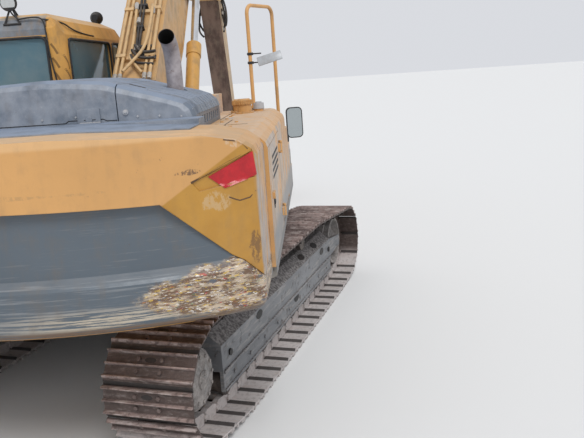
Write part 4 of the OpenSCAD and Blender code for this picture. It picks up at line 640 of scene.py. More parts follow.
# Deck, side panels and doors: folded sheet, tan with dust on top, with panel joints, worn side faces, flush
# door latches, hinges and a blank plate. The machine's right side is scraped grey over its whole height.
def scraped_side(s):
    right_face = s.facing("Y", -0.75, -0.95)
    worn = s.times(right_face, s.spots(0.43, 0.55, 3.2, 8, 0.68, (1, 1, 0.45)), 0.85)
    s.over(s.mix(s.spots(0.4, 0.6, 12, 8, 0.7), (0.4, 0.37, 0.35), (0.5, 0.42, 0.33)), worn)
    rust = s.times(right_face, s.spots(0.57, 0.64, 7, 9, 0.7, (1.6, 1.6, 0.35)))
    s.over((0.24, 0.11, 0.05), rust)
    low = s.times(right_face, s.axis("Z", 1.42, 1.3), 0.9)
    s.over(s.mix(s.spots(0.35, 0.6, 9, 8, 0.7), (0.14, 0.17, 0.2), (0.33, 0.33, 0.33)), low)


deck_dust = (0.56, 0.42, 0.3)
coat(worn_paint("panel_yellow", yellow, dust_and_sheen=deck_dust, dust_and_sheen_top=0.95, dirt=0.35, chips=0.6, low_dirt=0.3,
                extra=scraped_side), "body_panels", "tanks", "tool_box")
coat(worn_paint("door_yellow", yellow, dust_and_sheen_top=0.6, dirt=0.4, chips=0.6, low_dirt=0.3, extra=scraped_side),
     "door_left_front", "door_left_rear", "door_right")
trim_yellow = worn_paint("trim_yellow", yellow, dust_and_sheen=deck_dust, dust_and_sheen_top=0.8, dirt=0.4, chips=0.7)
coat(trim_yellow, "handrails")
coat(worn_paint("frame_slate", (0.105, 0.132, 0.16), dust_and_sheen=(0.34, 0.31, 0.28), dust_and_sheen_top=0.8, dirt=0.5, chips=0.7,
                low_dirt=0.6), "house_frame")
panel_skin = skin_of("body_panels")
tank_skin = skin_of("tanks")
joints = bmesh.new()
for skin, a, b in ((panel_skin, (-1.95, -0.985), (-0.8, -0.985)), (panel_skin, (-1.3, -0.87), (-1.3, -1.15)),
                   (panel_skin, (-1.95, 1.06), (-0.36, 1.06)), (panel_skin, (-0.87, 1.0), (-0.87, 1.2)),
                   (tank_skin, (-0.74, -0.88), (0.4, -0.88)), (tank_skin, (-0.7, -0.45), (-0.7, -0.86))):
    seam(joints, skin, ((*a, 2.1), (*b, 2.1)), down_on)
keep("deck_seams", joints, "house", black_seams_soot_and_gap_shade)


def deck_under(x, y, *skins):
    hits = (skin.ray_cast(Vector((x, y, 2.6)), down_on, 1.5)[0] for skin in skins)
    return next((hit for hit in hits if hit), None)


bolts = bmesh.new()
for x, y in ((-1.9, -0.93), (-1.62, -0.93), (-1.34, -0.93), (-1.26, -0.93), (-1.0, -0.93), (-1.9, -1.05),
             (-1.5, -1.05), (-1.1, -1.05), (-0.7, -0.93), (-0.45, -0.93), (-0.3, -0.93), (-1.8, 1.1), (-1.2, 1.1)):
    top = deck_under(x, y, panel_skin, tank_skin)
    if top:
        add_rod(bolts, top + down_on * 0.004, top - down_on * 0.009, 0.013, 6)
add_block(bolts, (-0.62, -0.6, 2.004), (-0.3, -0.585, 2.055), 0.004)
keep("deck_bolts", bolts, "house", trim_yellow)
plate = bmesh.new()
drape(plate, tank_skin, ((-0.66, -0.9, 2.1), (-0.54, -0.9, 2.1), (-0.54, -0.97, 2.1), (-0.66, -0.97, 2.1)),
      down_on, (4, 3), 0.001, 0.002)
plate_white = worn_paint("plate_white", (0.55, 0.54, 0.52), dirt=0.4)
keep("blank_plate", plate, "house", plate_white)

# Caps on the tank deck: a ribbed yellow filler and a wide round cover, both cast, painted and screwed down by
# their flanges, and a small zinc-plated breather with a hexagon to turn it by.
flange_level = 2.008
caps = bmesh.new()
for x, y, r, rise, ribs in ((-0.06, -1.01, 0.062, 0.11, 24), (0.16, -0.96, 0.08, 0.1, 0)):
    level = flange_level + rise
    add_rod(caps, (x, y, level - 0.034), (x, y, level + 0.006), r + 0.008, 32, r + 0.004)
    add_rod(caps, (x, y, level + 0.006), (x, y, level + 0.016), r * 0.86, 32, r * 0.8)
    for k in range(ribs):
        turn = Matrix.Translation((x, y, level - 0.014)) @ Matrix.Rotation(math.tau * k / ribs, 4, "Z")
        add_block(caps, (r + 0.004, -0.004, -0.018), (r + 0.014, 0.004, 0.018), 0, turn)
    add_rod(caps, (x, y, 2.006), (x, y, 2.022), r + 0.02, 32)
    for k in range(6):
        screw = (x + (r + 0.013) * math.cos(k), y + (r + 0.013) * math.sin(k))
        add_rod(caps, (*screw, 2.02), (*screw, 2.029), 0.005, 6)
keep("filler_caps", caps, "house", trim_yellow)
breather = bmesh.new()
add_rod(breather, (0.12, -1.12, 2.03), (0.12, -1.12, 2.082), 0.05, 28, 0.047)
add_rod(breather, (0.12, -1.12, 2.082), (0.12, -1.12, 2.094), 0.03, 6, 0.028)
cap_zinc = worn_paint("cap_zinc", (0.5, 0.5, 0.51), dirt=0.4, chips=0.3, rough=0.25)
keep("breather_cap", breather, "house", cap_zinc)

# Doors on the side bays: folded sheet on hinge pins. Each has a flush black latch in a round rubber seat, and
# four pressed air slots near its top, drawn as black strips that are painted shade.
rubber = worn_paint("black_rubber_and_slot_shade", (0.018, 0.018, 0.02), dust_and_sheen=(0.16, 0.14, 0.12), dirt=0.2, chips=0, rough=0.6)
latch_height, slot_base, slot_pitch, slot_height = 1.52, 1.66, 0.045, 0.02
for body, node, x, side in (("right_door", "door_right", -1.7, -1), ("left_rear_door", "door_left_rear", -1.72, 1),
                            ("left_front_door", "door_left_front", -0.47, 1)):
    lo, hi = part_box(node)
    door_skin = skin_of(node)
    inward = Vector((0, -side, 0))
    out = side * (max(abs(lo[1]), abs(hi[1])) + 0.15)
    fittings = bmesh.new()
    hit = door_skin.ray_cast(Vector((x, out, latch_height)), inward, 1)[0]
    if hit:
        add_rod(fittings, hit + inward * 0.002, hit - inward * 0.004, 0.042, 24)
        low, high = sorted((hit.y + side * 0.003, hit.y + side * 0.009))
        add_block(fittings, (x - 0.03, low, 1.507), (x + 0.03, high, 1.533), 0.003)
    middle = (lo[0] + hi[0]) / 2
    half = min(0.3, (hi[0] - lo[0]) / 2 - 0.08)
    # The air slots are black strips laid on the door: painted shade standing for the openings
    for k in range(4):
        z = slot_base + slot_pitch * k
        corners = [(middle + u * half, out, z + w * slot_height) for u, w in ((-1, 0), (1, 0), (1, 1), (-1, 1))]
        drape(fittings, door_skin, corners, inward, (6, 1), 0.0005, 0.0015)
    keep(body + "_fittings", fittings, body, rubber)


# Mirrors and handrail clamps: rounded black plastic housings with silvered glass towards the seat, on bent
# tube. A small bare mirror is clamped to the hoop, which stands in two rubber feet.
def rounded_slab(shape, x, size, corner):
    # A slab across X with its four corners rounded
    place = Matrix.Translation((x, 0, 0)) @ Matrix.Diagonal((*size, 1))
    made = bmesh.ops.create_cube(shape, size=1, matrix=place)["verts"]
    return soften(shape, [e for e in edges_of(made) if abs(e.verts[0].co.x - e.verts[1].co.x) > size[0] / 2],
                  corner, 6)


housing_depth, housing_corner, front_edge = 0.039, 0.05, 0.015
pane_depth, pane_corner, pane_inset = 0.003, 0.04, 0.022
housings = bmesh.new()
panes = bmesh.new()
for place, half_w, half_h, angle in (((1.59, -1.385, 1.77), 0.092, 0.17, 12),
                                     ((1.572, 1.495, 2.2), 0.095, 0.19, -12)):
    turn = Matrix.Translation(place) @ Matrix.Rotation(math.radians(angle), 4, "Z")
    shell = rounded_slab(housings, 0.005, (housing_depth, 2 * half_w, 2 * half_h), housing_corner)
    front = soften(housings, [e for e in edges_of(shell) if min(v.co.x for v in e.verts) > 0.02], front_edge, 3)
    whole = dict.fromkeys([v for v in shell if v.is_valid] + front)
    bmesh.ops.transform(housings, matrix=turn, verts=list(whole))
    pane = rounded_slab(panes, -0.0155, (pane_depth, 2 * half_w - pane_inset, 2 * half_h - pane_inset), pane_corner)
    bmesh.ops.transform(panes, matrix=turn, verts=pane)
arm_line = ((1.4, -1.304, 1.34), (1.4, -1.304, 1.5), (1.54, -1.304, 1.56), (1.585, -1.31, 1.7),
            (1.6, -1.36, 1.76))
for a, b in (*zip(arm_line, arm_line[1:]), ((1.567, 1.345, 2.2), (1.572, 1.49, 2.2))):
    add_rod(housings, a, b, 0.01, 12)
add_block(housings, (1.385, -1.324, 1.33), (1.425, -1.284, 1.5), 0.006)
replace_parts(keep("mirror_housings", housings, "house", rubber), "mirrors")
s = Shader("mirror_glass")
silver = s.finish((0.42, 0.46, 0.47), s.band(s.noise(5, 7), 0.3, 0.7, 0.05, 0.22), 1.0)
keep("mirror_panes", panes, "house", silver)
clamps = bmesh.new()
for z in (2.44, 2.52):
    add_block(clamps, (0.338, -1.085, z - 0.012), (0.382, -1.03, z + 0.012), 0.004)
    add_rod(clamps, (0.36, -1.07, z), (0.352, -1.16, z), 0.006, 8)
hoop_mirror = bmesh.new()
add_block(hoop_mirror, (-0.005, -0.115, -0.045), (0.005, 0.115, 0.045), 0.0045, Matrix.Translation(
    (0.345, -1.235, 2.47)) @ Matrix.Rotation(math.radians(-14), 4, "X") @ Matrix.Rotation(math.radians(25), 4, "Y"))
mirror_zinc = worn_paint("mirror_zinc", (0.45, 0.47, 0.49), dirt=0.4, chips=0.3, rough=0.25)
keep("hoop_mirror", hoop_mirror, "house", mirror_zinc)
for x, y in ((0.36, -1.055), (0.778, -1.259)):
    top = deck_under(x, y, tank_skin)
    z = top.z if top else 1.8
    add_rod(clamps, (x, y, z - 0.002), (x, y, z + 0.014), 0.045, 20, 0.04)
keep("hoop_clamps", clamps, "house", rubber)


# Exhaust: a mandrel-bent steel tube with a plain square-cut mouth, open at its end, sooty inside and satin
# grey-brown from heat outside. It is clamped to the engine below and comes up through the cover.
def sweep(shape, points, radius, sides=28):
    rings, turn = [], None
    for k, point in enumerate(points):
        ahead = Vector(points[min(k + 1, len(points) - 1)]) - Vector(points[max(k - 1, 0)])
        turn = ahead.to_track_quat("Z", "X") if turn is None else (turn @ Vector((0, 0, 1))).rotation_difference(
            ahead.normalized()) @ turn
        rings.append(edges_of(bmesh.ops.create_circle(shape, segments=sides, radius=radius, matrix=Matrix.Translation(
            point) @ turn.to_matrix().to_4x4())["verts"]))
    for low, high in zip(rings, rings[1:]):
        bmesh.ops.bridge_loops(shape, edges=low + high)
    return rings


pipe_radius, bore_radius = 0.059, 0.054
bend_radius, bend_start, bend_angle, bend_steps = 0.19, 2.452, 66, 10
foot = Vector((-1.01, -0.61, 0))
line = [foot + Vector((0, 0, z)) for z in (2.05, 2.2, 2.3, bend_start)]
for k in range(1, bend_steps + 1):
    angle = math.radians(bend_angle / bend_steps * k)
    line.append(foot + Vector((-bend_radius * (1 - math.cos(angle)), 0, bend_start + bend_radius * math.sin(angle))))
end_way = Vector((-math.sin(math.radians(bend_angle)), 0, math.cos(math.radians(bend_angle))))
line += [line[-1] + end_way * 0.025, line[-1] + end_way * 0.05]
pipe = bmesh.new()
sweep(pipe, line, pipe_radius)
soot = bmesh.new()
bore = sweep(soot, line[2:-1] + [line[-1] - end_way * 0.003], bore_radius)
bmesh.ops.contextual_create(soot, geom=bore[0])
keep("exhaust_soot", soot, "house", black_seams_soot_and_gap_shade)
s = Shader("exhaust_steel")
scale = s.noise(8, 9, 0.68)
s.color = s.mix(s.band(scale, 0.35, 0.65), (0.27, 0.24, 0.25), (0.46, 0.42, 0.43))
s.over((0.16, 0.08, 0.045), s.spots(0.55, 0.65, 24, 8, 0.7), 0.6)
s.bump(scale, 0.0015, 0.6)
exhaust_steel = s.finish(s.color, s.band(scale, 0.3, 0.7, 0.4, 0.65), 0.3)
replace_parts(keep("exhaust_pipe", pipe, "house", exhaust_steel), "exhaust")


# Cab: pressed and welded steel shell in yellow, with slate panels over the rear window and on the roof, tinted
# glass in black rubber, three grooves pressed in the rear pillar and a work lamp on a triangular bracket.
def tubes(name, paths, radius, body, material, closed=False):
    # Round cord or pipe along paths: closed paths keep their corners, open ones are smoothed
    data = bpy.data.curves.new(name, "CURVE")
    data.dimensions = "3D"
    data.bevel_depth = radius
    data.bevel_resolution = 3
    data.use_fill_caps = not closed
    for points in paths:
        spline = data.splines.new("POLY" if closed else "NURBS")
        spline.points.add(len(points) - 1)
        for point, place in zip(spline.points, points):
            point.co = (*place, 1)
        spline.use_cyclic_u = closed
        if not closed:
            spline.order_u = 3
            spline.use_endpoint_u = True
            spline.resolution_u = 6
    data.materials.append(material)
    made = bpy.data.objects.new(name, data)
    bpy.context.scene.collection.objects.link(made)
    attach(made, body)


def window_rim(place, low, high, corner):
    points = []
    for k, (u, v) in enumerate(((high[0], high[1]), (low[0], high[1]), (low[0], low[1]), (high[0], low[1]))):
        centre_u = u - math.copysign(corner, u - (low[0] + high[0]) / 2)
        centre_v = v - math.copysign(corner, v - (low[1] + high[1]) / 2)
        for step in range(6):
            angle = math.radians(90 * k + 18 * step)
            points.append(place(centre_u + corner * math.cos(angle), centre_v + corner * math.sin(angle)))
    return points


def cab_panels(s):
    high = s.axis("Z", 2.772, 2.778)
    rear = s.times(s.axis("X", -0.185, -0.205), s.axis("Y", 0.575, 0.581))
    top = s.times(s.facing("Z", 0.9, 0.96), s.axis("X", 0.95, 0.93), s.axis("Y", 0.62, 0.64))
    slate = s.mix(s.spots(0.35, 0.65, 6, 8, 0.66), (0.13, 0.15, 0.175), (0.22, 0.235, 0.255))
    s.over(slate, high, s.math("MAXIMUM", rear, top))
    grime = s.times(s.axis("X", -0.1, -0.24), s.spots(0.48, 0.62, 7, 8, 0.68, (1, 1, 0.4)), 0.5)
    s.over((0.3, 0.17, 0.06), grime)


coat(worn_paint("cab_yellow", (0.66, 0.34, 0.075), dust_and_sheen=(0.52, 0.42, 0.3), dust_and_sheen_top=0.6, dirt=0.35, chips=0.6,
                extra=cab_panels), "cab_shell", "cab_door")


def front_face(u, v):
    return 1.702 - max(0, v - 1.95) * 0.136, u, v


rims = [window_rim(face, low, high, corner) for face, corner, low, high in (
    (lambda u, v: (-0.283, u, v), 0.06, (0.585, 2.13), (1.21, 2.76)),
    (lambda u, v: (u, 0.447, v), 0.06, (-0.145, 2.08), (1.07, 2.74)),
    (lambda u, v: (u, 0.447, v), 0.06, (1.15, 1.64), (1.53, 2.74)),
    (lambda u, v: (u, 1.348, v), 0.06, (-0.145, 2.08), (0.54, 2.74)),
    (front_face, 0.04, (0.56, 1.74), (1.235, 2.7)), (front_face, 0.04, (0.56, 1.33), (1.235, 1.64)),
    (lambda u, v: (u, v, 2.957), 0.05, (0.9, 0.65), (1.28, 1.145)))]
tubes("window_seals", rims, 0.011, "house", rubber, True)
door_rims = [window_rim(lambda u, v: (u, 1.352, v), low, high, 0.05) for low, high in (
    ((0.73, 1.38), (1.42, 1.74)), ((0.73, 1.96), (1.42, 2.66)))]
tubes("door_seals", door_rims, 0.01, "cab_door_body", rubber, True)
cab_skin = skin_of("cab_shell")
grooves = bmesh.new()
for z in (2.7, 2.585, 2.47):
    seam(grooves, cab_skin, ((-0.31, 0.552, z), (-0.31, 0.528, z - 0.035), (-0.31, 0.505, z - 0.085)), (1, 0, 0),
         0.018, 0.001, 0.02)
    seam(grooves, cab_skin, ((-0.245, 0.4, z - 0.095), (-0.2, 0.4, z - 0.165), (-0.19, 0.4, z - 0.215)),
         (0, 1, 0), 0.016, 0.001, 0.02)
seam(grooves, cab_skin, ((-0.31, 0.574, 2.9), (-0.31, 0.574, 2.78)), (1, 0, 0), 0.008, 0.001)
groove_shade = worn_paint("groove_shade", (0.26, 0.13, 0.03), dirt=0.3, chips=0)
keep("pillar_grooves", grooves, "house", groove_shade)
tubes("pillar_cable", [((-0.262, 0.8, 2.915), (-0.27, 0.66, 2.93), (-0.275, 0.585, 2.9), (-0.292, 0.574, 2.78),
                        (-0.292, 0.566, 2.6), (-0.292, 0.545, 2.45), (-0.292, 0.52, 2.3), (-0.285, 0.51, 2.2)),
                       ((-0.262, 0.8, 2.915), (-0.25, 0.88, 2.97), (-0.235, 0.87, 3.02)),
                       ((-0.275, 0.6, 2.9), (-0.2, 0.47, 2.89), (0.1, 0.455, 2.8), (0.6, 0.455, 2.79))],
      0.0065, "house", rubber)
lamp = bmesh.new()
for a, b, radius, sides, end_radius in (
        ((-0.262, 0.795, 2.875), (-0.235, 0.86, 3.03), 0.008, 8, 0.008),
        ((-0.262, 0.925, 2.875), (-0.235, 0.86, 3.03), 0.008, 8, 0.008),
        ((-0.262, 0.785, 2.878), (-0.262, 0.935, 2.878), 0.009, 8, 0.009),
        ((-0.12, 0.86, 2.955), (-0.225, 0.86, 3.03), 0.008, 8, 0.008),
        ((-0.215, 0.86, 3.06), (-0.265, 0.86, 3.052), 0.035, 24, 0.066),
        ((-0.265, 0.86, 3.052), (-0.29, 0.86, 3.048), 0.069, 24, 0.069)):
    add_rod(lamp, a, b, radius, sides, end_radius)
keep("rear_work_lamp", lamp, "house", rubber)
lenses = bmesh.new()
add_rod(lenses, (-0.289, 0.86, 3.048), (-0.293, 0.86, 3.047), 0.06, 24)
for x, y, z, way in ((1.33, 0.6475, 3.021, 1), (1.33, 1.1475, 3.021, 1), (-0.09, 1.1875, 3.021, -1),
                     (1.07, -1.0, 1.7, 1)):
    add_rod(lenses, (x + way * 0.08, y, z), (x + way * 0.084, y, z), 0.058, 24, 0.05)
s = Shader("lamp_lens")
s.bump(s.noise(4, 2, 0.5, (1, 60, 4)), 0.002, 0.8)
keep("lamp_lenses", lenses, "house", s.finish((0.62, 0.64, 0.64), 0.12, 0.6))
coat(rubber, "lamps")
trim = bmesh.new()
add_rod(trim, (1.6, 0.95, 1.66), (1.655, 0.95, 1.66), 0.02, 12)
add_rod(trim, (1.712, 0.93, 1.7), (1.69, 0.78, 2.25), 0.008, 8)
add_rod(trim, (1.7, 0.74, 2.02), (1.65, 0.83, 2.5), 0.009, 8)
for z in (1.45, 2.56):
    add_block(trim, (0.54, 1.343, z - 0.05), (0.6, 1.356, z + 0.05), 0.004)
keep("wiper_and_hinge_pads", trim, "house", rubber)
handle = bmesh.new()
add_rod(handle, (1.47, 1.372, 1.8), (1.47, 1.372, 1.98), 0.01, 12)
for z in (1.8, 1.98):
    add_rod(handle, (1.47, 1.345, z), (1.47, 1.374, z), 0.01, 12)
add_rod(handle, (1.47, 1.345, 1.7), (1.47, 1.356, 1.7), 0.02, 20)
keep("door_handle", handle, "cab_door_body", rubber)
s = Shader("tinted_glass")
s.bsdf.inputs["Transmission Weight"].default_value = 0.5
s.bsdf.inputs["IOR"].default_value = 1.45
film = s.spots(0.35, 0.75, 3.5, 8, 0.65)
coat(s.finish(s.mix(film, (0.16, 0.31, 0.38), (0.26, 0.38, 0.42)), s.band(film, 0, 1, 0.03, 0.2)),
     "cab_glass", "cab_door_glass")
coat(worn_paint("cab_plastic", (0.035, 0.036, 0.038), dust_and_sheen_top=0.4, dirt=0.3, chips=0, rough=0.6), "cab_interior")


# Seat: foam in dark woven cloth over the seat pan, its sides pulled in, with a cushion for the back that
# leans a little. The covers are sewn and swell as the foam presses them out.
def cushion(name, low, high, tilt=0.0, pivot=(0, 0, 0)):
    shape = bmesh.new()
    add_block(shape, low, high, 0.03, Matrix.Translation(pivot) @ Matrix.Rotation(tilt, 4, "Y") @ Matrix.Translation(
        [-p for p in pivot]))
    pad = keep(name, shape, "house", seat_cloth, 80)
    voxel, most_swell = 0.012, 0.012
    bpy.context.view_layer.objects.active = pad
    pad.select_set(True)
    remesh = pad.modifiers.new("remesh", "REMESH")
    remesh.mode = "VOXEL"
    remesh.voxel_size = voxel
    bpy.ops.object.modifier_apply(modifier=remesh.name)
    rest = [v.co.copy() for v in pad.data.vertices]
    cloth = pad.modifiers.new("cloth", "CLOTH")
    cloth.settings.use_pressure = True
    cloth.settings.uniform_pressure_force = 4
    cloth.settings.effector_weights.gravity = 0
    for number in range(1, 21):
        bpy.context.scene.frame_set(number)
    bpy.ops.object.modifier_apply(modifier=cloth.name)
    for v, was in zip(pad.data.vertices, rest):
        move = v.co - was
        v.co = was + move * min(1, most_swell / max(move.length, 1e-6))
    pad.select_set(False)
    bpy.context.scene.frame_set(1)


s = Shader("seat_cloth")
threads = s.plus(s.noise(30, 3, 0.6, (9, 1, 9)), s.noise(30, 3, 0.6, (1, 9, 9)))
s.bump(threads, 0.001, 0.7)
seat_cloth = s.finish(s.mix(s.band(threads, 0.8, 1.2), (0.02, 0.021, 0.024), (0.055, 0.057, 0.062)), 0.9)
cushion("seat_cushion", (0.6, 0.665, 1.69), (1.05, 1.115, 1.745))
cushion("back_cushion", (0.612, 0.675, 1.78), (0.655, 1.105, 2.24), -0.07, (0.62, 0.89, 1.78))


# Boom: a welded box of plate with raised seams along its edges, cast bosses at its pins, and clamped steel
# pipes with hoses up its back. The paint is tan with age, thin on the corners and greasy about the pins.
def boom_grease(s):
    for centre, reach in (((0.12, 0, 1.93), (0.3, 0.4, 0.3)), ((5.52, 0, 3.75), (0.35, 0.4, 0.35)),
                          ((2.27, 0, 3.33), (0.25, 0.4, 0.25)), ((2.12, 0, 4.12), (0.2, 0.3, 0.2))):
        where = s.times(s.around(centre, reach, 0.35, 5), s.spots(0.35, 0.6, 11, 8, 0.7), 0.75)
        s.over((0.09, 0.06, 0.04), where)
    s.over((0.42, 0.31, 0.19), s.flanks(), s.spots(0.46, 0.6, 2.2, 8, 0.68), 0.5)


boom_place = Matrix.Translation((0.12, 0, 1.93)) @ Matrix.Rotation(math.radians(-18.6), 4, "Y")
coat(worn_paint("boom_tan", (0.62, 0.36, 0.13), dust_and_sheen=(0.45, 0.35, 0.25), dust_and_sheen_top=0.55, dirt=0.45, chips=0.8,
                extra=boom_grease), "boom")
pipe_tan = worn_paint("pipe_tan", (0.64, 0.42, 0.2), dirt=0.5, chips=0.7, round_edges=0)
coat(pipe_tan, "boom_pipes", "arm_pipes")
coat(worn_paint("tube_yellow", (0.62, 0.34, 0.085), dirt=0.45, chips=0.9, round_edges=0.003),
     "boom_tube_left", "boom_tube_right", "arm_tube", "bucket_tube")
s = Shader("chrome_rod")
rings = s.noise(5, 6, 0.6)
s.bump(s.noise(90, 3, 0.5), 0.0003, 0.3)
coat(s.finish(s.mix(s.band(rings, 0.35, 0.7), (0.78, 0.79, 0.81), (0.6, 0.6, 0.6)),
              s.band(rings, 0.3, 0.7, 0.1, 0.26), 1.0), "boom_rod_left", "boom_rod_right", "arm_rod", "bucket_rod")
hose_rubber = worn_paint("hose_rubber", (0.022, 0.021, 0.021), dust_and_sheen=(0.14, 0.11, 0.09), dust_and_sheen_top=0.6, dirt=0.5,
                         chips=0, rough=0.55, round_edges=0)
fitting_zinc = worn_paint("fitting_zinc", (0.45, 0.43, 0.4), dirt=0.5, chips=0.4, rough=0.3, round_edges=0)
back_normal = Vector((-0.67, 0, 0.74))
bent_radius, thin_hose, side_hose, arm_hose = 0.0145, 0.0125, 0.016, 0.0155


def raised(out, *points):
    # Points on the boom's back, moved off it along its normal
    return [Vector(p) + back_normal * out for p in points]


tubes("bent_pipes", [
    raised(0.055, (0.922, 0.07, 3.045), (0.678, 0.05, 2.826), (0.43, 0.04, 2.6), (0.335, 0.055, 2.516),
           (0.3, 0.02, 2.48), (0.18, -0.085, 2.375)),
    raised(0.095, (0.86, -0.105, 2.99), (0.6, -0.112, 2.755), (0.395, -0.085, 2.568), (0.3, -0.02, 2.48),
           (0.17, 0.08, 2.365)),
    raised(0.05, (0.86, -0.155, 2.99), (0.5, -0.16, 2.665), (0.33, -0.15, 2.51), (0.16, -0.155, 2.355))],
    bent_radius, "boom_body", pipe_tan)
tubes("boom_hoses", [
    raised(0.045, (1.02, 0.035, 3.135), (0.8, 0.022, 2.93), (0.5, 0.012, 2.665), (0.405, 0.0, 2.578),
           (0.345, -0.06, 2.524), (0.33, -0.19, 2.51)),
    raised(0.04, (1.02, 0.003, 3.135), (0.8, -0.008, 2.93), (0.5, -0.012, 2.665), (0.415, -0.018, 2.588),
           (0.365, -0.08, 2.542), (0.35, -0.19, 2.53)),
    raised(0.085, (0.44, 0.012, 2.61), (0.385, -0.02, 2.56), (0.355, -0.1, 2.533), (0.37, -0.195, 2.546)),
    raised(0.075, (0.4, 0.035, 2.574), (0.33, -0.01, 2.511), (0.305, -0.1, 2.488), (0.31, -0.19, 2.492)),
    raised(0.06, (0.36, 0.045, 2.538), (0.29, 0.01, 2.475), (0.265, -0.08, 2.452), (0.26, -0.18, 2.447))],
    thin_hose, "boom_body", hose_rubber)
tubes("boom_side_hoses", [[boom_place @ Vector(p) for p in line] for line in (
    ((0.52, 0.185, 0.5), (0.34, 0.188, 0.44), (0.18, 0.185, 0.385), (0.02, 0.175, 0.3)),
    ((2.33, 0.014784, 1.318), (2.45, 0.01518, 1.3), (2.62, 0.01848, 1.29), (2.85, 0.0198, 1.2)),
    ((2.33, -0.112, 1.318), (2.45, -0.115, 1.3), (2.62, -0.14, 1.29), (2.85, -0.15, 1.2)))],
    side_hose, "boom_body", hose_rubber)
fittings = bmesh.new()
for ends in (((0.922, 0.07, 3.045), (0.88, 0.066, 3.007)), ((0.86, -0.105, 2.99), (0.82, -0.106, 2.954)),
             ((0.405, 0.0, 2.578), (0.43, 0.004, 2.6)), ((0.7, 0.022, 2.845), (0.73, 0.022, 2.872))):
    a, b = raised(0.055, *ends)
    add_rod(fittings, a, b, 0.022, 6)
    add_rod(fittings, b, b + (b - a) * 0.7, 0.019, 12)
away = boom_place.to_3x3() @ Vector((0.9, 0, 0.4))
for y in (-0.158, -0.112, 0.112, 0.158):
    for x, z in ((0.15, 0.44), (2.33, 1.318)):
        spot = boom_place @ Vector((x, y, z))
        add_rod(fittings, spot - away * 0.02, spot + away * 0.02, 0.021, 6)
        add_rod(fittings, spot - away * 0.05, spot - away * 0.02, 0.018, 12)
keep("pipe_fittings", fittings, "boom_body", fitting_zinc)
clamps = bmesh.new()
for along, y0, y1 in ((0.56, -0.01, 0.046), (0.8, -0.015, 0.04), (0.345, -0.13, -0.04)):
    place = Matrix.Translation(Vector((0.12 + along, 0, 2.3 + along * 0.905)) + back_normal * 0.035)
    add_block(clamps, (-0.014, y0 - 0.02, -0.03), (0.014, y1 + 0.02, 0.034), 0.004,
              place @ Matrix.Rotation(math.radians(-42), 4, "Y"))
keep("hose_clamps", clamps, "boom_body", rubber)


# Arm: a welded box of plate, bare rust on its inner face where bucket and spoil rub it, with beige side
# plates. Hoses loop across the joint from the boom's pipes to fittings clamped on its sides.
def arm_rust(s):
    inner = s.facing("X", -0.55, -0.75)
    rust = s.mix(s.spots(0.38, 0.62, 5, 9, 0.7, (1, 1, 0.25)), (0.07, 0.037, 0.027), (0.19, 0.12, 0.088))
    s.over(rust, inner, s.axis("Z", 3.75, 3.55))
    s.over((0.4, 0.31, 0.22), s.flanks(), s.spots(0.44, 0.58, 3, 8, 0.68), 0.6)


coat(worn_paint("arm_beige", (0.58, 0.38, 0.18), dust_and_sheen_top=0.4, dirt=0.5, chips=0.9, extra=arm_rust),
     "arm", "side_links", "power_link")
tubes("arm_hoses", [
    ((5.66, 0.15, 3.66), (5.62, 0.215, 3.5), (5.6, 0.235, 3.28), (5.62, 0.2, 3.12), (5.66, 0.165, 3.06)),
    ((5.7, 0.15, 3.55), (5.6, 0.19, 3.36), (5.58, 0.215, 3.16), (5.62, 0.235, 3.02), (5.68, 0.17, 2.96)),
    ((5.66, -0.15, 3.66), (5.64, -0.225, 3.5), (5.62, -0.25, 3.25), (5.64, -0.215, 3.08), (5.68, -0.18, 3.2),
     (5.7, -0.16, 3.4)),
    ((5.72, -0.15, 3.6), (5.66, -0.2, 3.42), (5.66, -0.215, 3.2), (5.72, -0.165, 3.02))],
    arm_hose, "arm_body", hose_rubber)
fittings = bmesh.new()
for y in (-0.165, 0.165):
    add_rod(fittings, (5.68, y, 3.06), (5.72, y * 0.93, 3.1), 0.026, 6)
    add_block(fittings, (5.62, min(y, y * 1.18), 3.3), (5.68, max(y, y * 1.18), 3.345), 0.005)
keep("arm_hose_fittings", fittings, "arm_body", fitting_zinc)

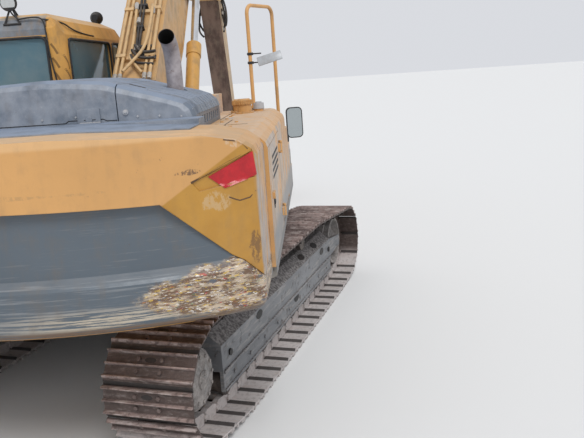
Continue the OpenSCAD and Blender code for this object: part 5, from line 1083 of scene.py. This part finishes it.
# Pins: turned steel bars, each kept in its bores by a round plate on either end, held with two bolts. They
# are black with old grease; the places of the plates are found on the outside of each member.
greasy = muddy_steel("greasy_pin", (0.07, 0.055, 0.045), (0.2, 0.16, 0.13), (0.1, 0.08, 0.06), 0.4, 0.4, 0.6, 0.002)
bolt_radius, first_bolt, second_bolt = 0.01, 0.6, 3.74
for name, body, slot, node, spots in (
        ("foot_pin_plates", "house", "frame_steel", "house_frame", ((0.12, 1.93, 0.075),)),
        ("boom_pin_plates", "boom_body", "machine_yellow", "boom",
         ((5.5223, 3.7481, 0.085), (2.2663, 3.3276, 0.07), (2.1249, 4.1241, 0.055))),
        ("arm_pin_plates", "arm_body", "arm_paint", "arm",
         ((5.4658, 4.5018, 0.055), (6.1678, 3.4049, 0.05), (6.5125, 1.4841, 0.05))),
        ("bucket_pin_plates", "bucket_body", "bucket_steel", "bucket",
         ((6.6086, 1.0592, 0.055), (7.0315, 0.9053, 0.05))),
        ("link_pin_plates", "side_link_body", "arm_paint", "side_links", ((7.132, 1.507, 0.045),))):
    skin = skin_of(node)
    plates = bmesh.new()
    for x, z, r in spots:
        hit = skin.ray_cast(Vector((x + r * 0.55, 2, z)), Vector((0, -1, 0)), 2.5)[0]
        if hit and hit.y > 0.05:
            y = hit.y - 0.001
            for side in (-1, 1):
                add_rod(plates, (x, side * y, z), (x, side * (y + 0.01), z), r, 28, r - 0.004)
                for angle in (first_bolt, second_bolt):
                    at_x, at_z = x + r * 0.55 * math.cos(angle), z + r * 0.55 * math.sin(angle)
                    add_rod(plates, (at_x, side * (y + 0.01), at_z), (at_x, side * (y + 0.019), at_z),
                            bolt_radius, 6)
    keep(name, plates, body, greasy)
coat(muddy_steel("engine_iron", (0.03, 0.03, 0.03), (0.09, 0.085, 0.08), (0.1, 0.08, 0.06), 0.4), "engine_block")

# Bucket: a shell rolled from plate, earth-brown and scoured by spoil, with flat wear straps welded round its
# heel, and forged adaptors on its lip that hold the pinned teeth, which are bare bright steel.
coat(muddy_steel("bucket_steel", (0.085, 0.06, 0.045), (0.24, 0.17, 0.13), (0.3, 0.25, 0.2), 0.55, 0.35, 0.7, 0.004),
     "bucket")
coat(muddy_steel("tooth_steel", (0.13, 0.11, 0.1), (0.34, 0.31, 0.28), (0.25, 0.21, 0.17), 0.3, 0.6, 0.5, 0.002),
     "bucket_teeth")
bucket_skin = skin_of("bucket")
straps = bmesh.new()
heel_radius, half_width = 0.46, Vector((0, 0.035, 0))
ring = [Vector((math.cos(a), 0, math.sin(a))) for a in map(math.radians, range(-96, 31, 9))]
for y in (-0.46, -0.155, 0.155, 0.46):
    heel = Vector((6.669, y, 0.449))
    for a, b in zip(ring, ring[1:]):
        p, q = heel + a * heel_radius, heel + b * heel_radius
        drape(straps, bucket_skin, (p - half_width, q - half_width, q + half_width, p + half_width), -(a + b), (1, 1),
              0.002, 0.01)
tooth_count, tooth_pitch = 5, 0.265
for k in range(tooth_count):
    y = tooth_pitch * (k - (tooth_count - 1) / 2)
    add_block(straps, (5.745, y - 0.045, 0.034), (5.93, y + 0.045, 0.098), 0.012)
    add_rod(straps, (5.77, y - 0.052, 0.066), (5.77, y + 0.052, 0.066), 0.012, 10)
worn_straps = muddy_steel("worn_straps", (0.13, 0.1, 0.08), (0.33, 0.28, 0.24), (0.28, 0.23, 0.18), 0.3, 0.5, 0.55,
                          0.002)
keep("wear_straps", straps, "bucket_body", worn_straps)
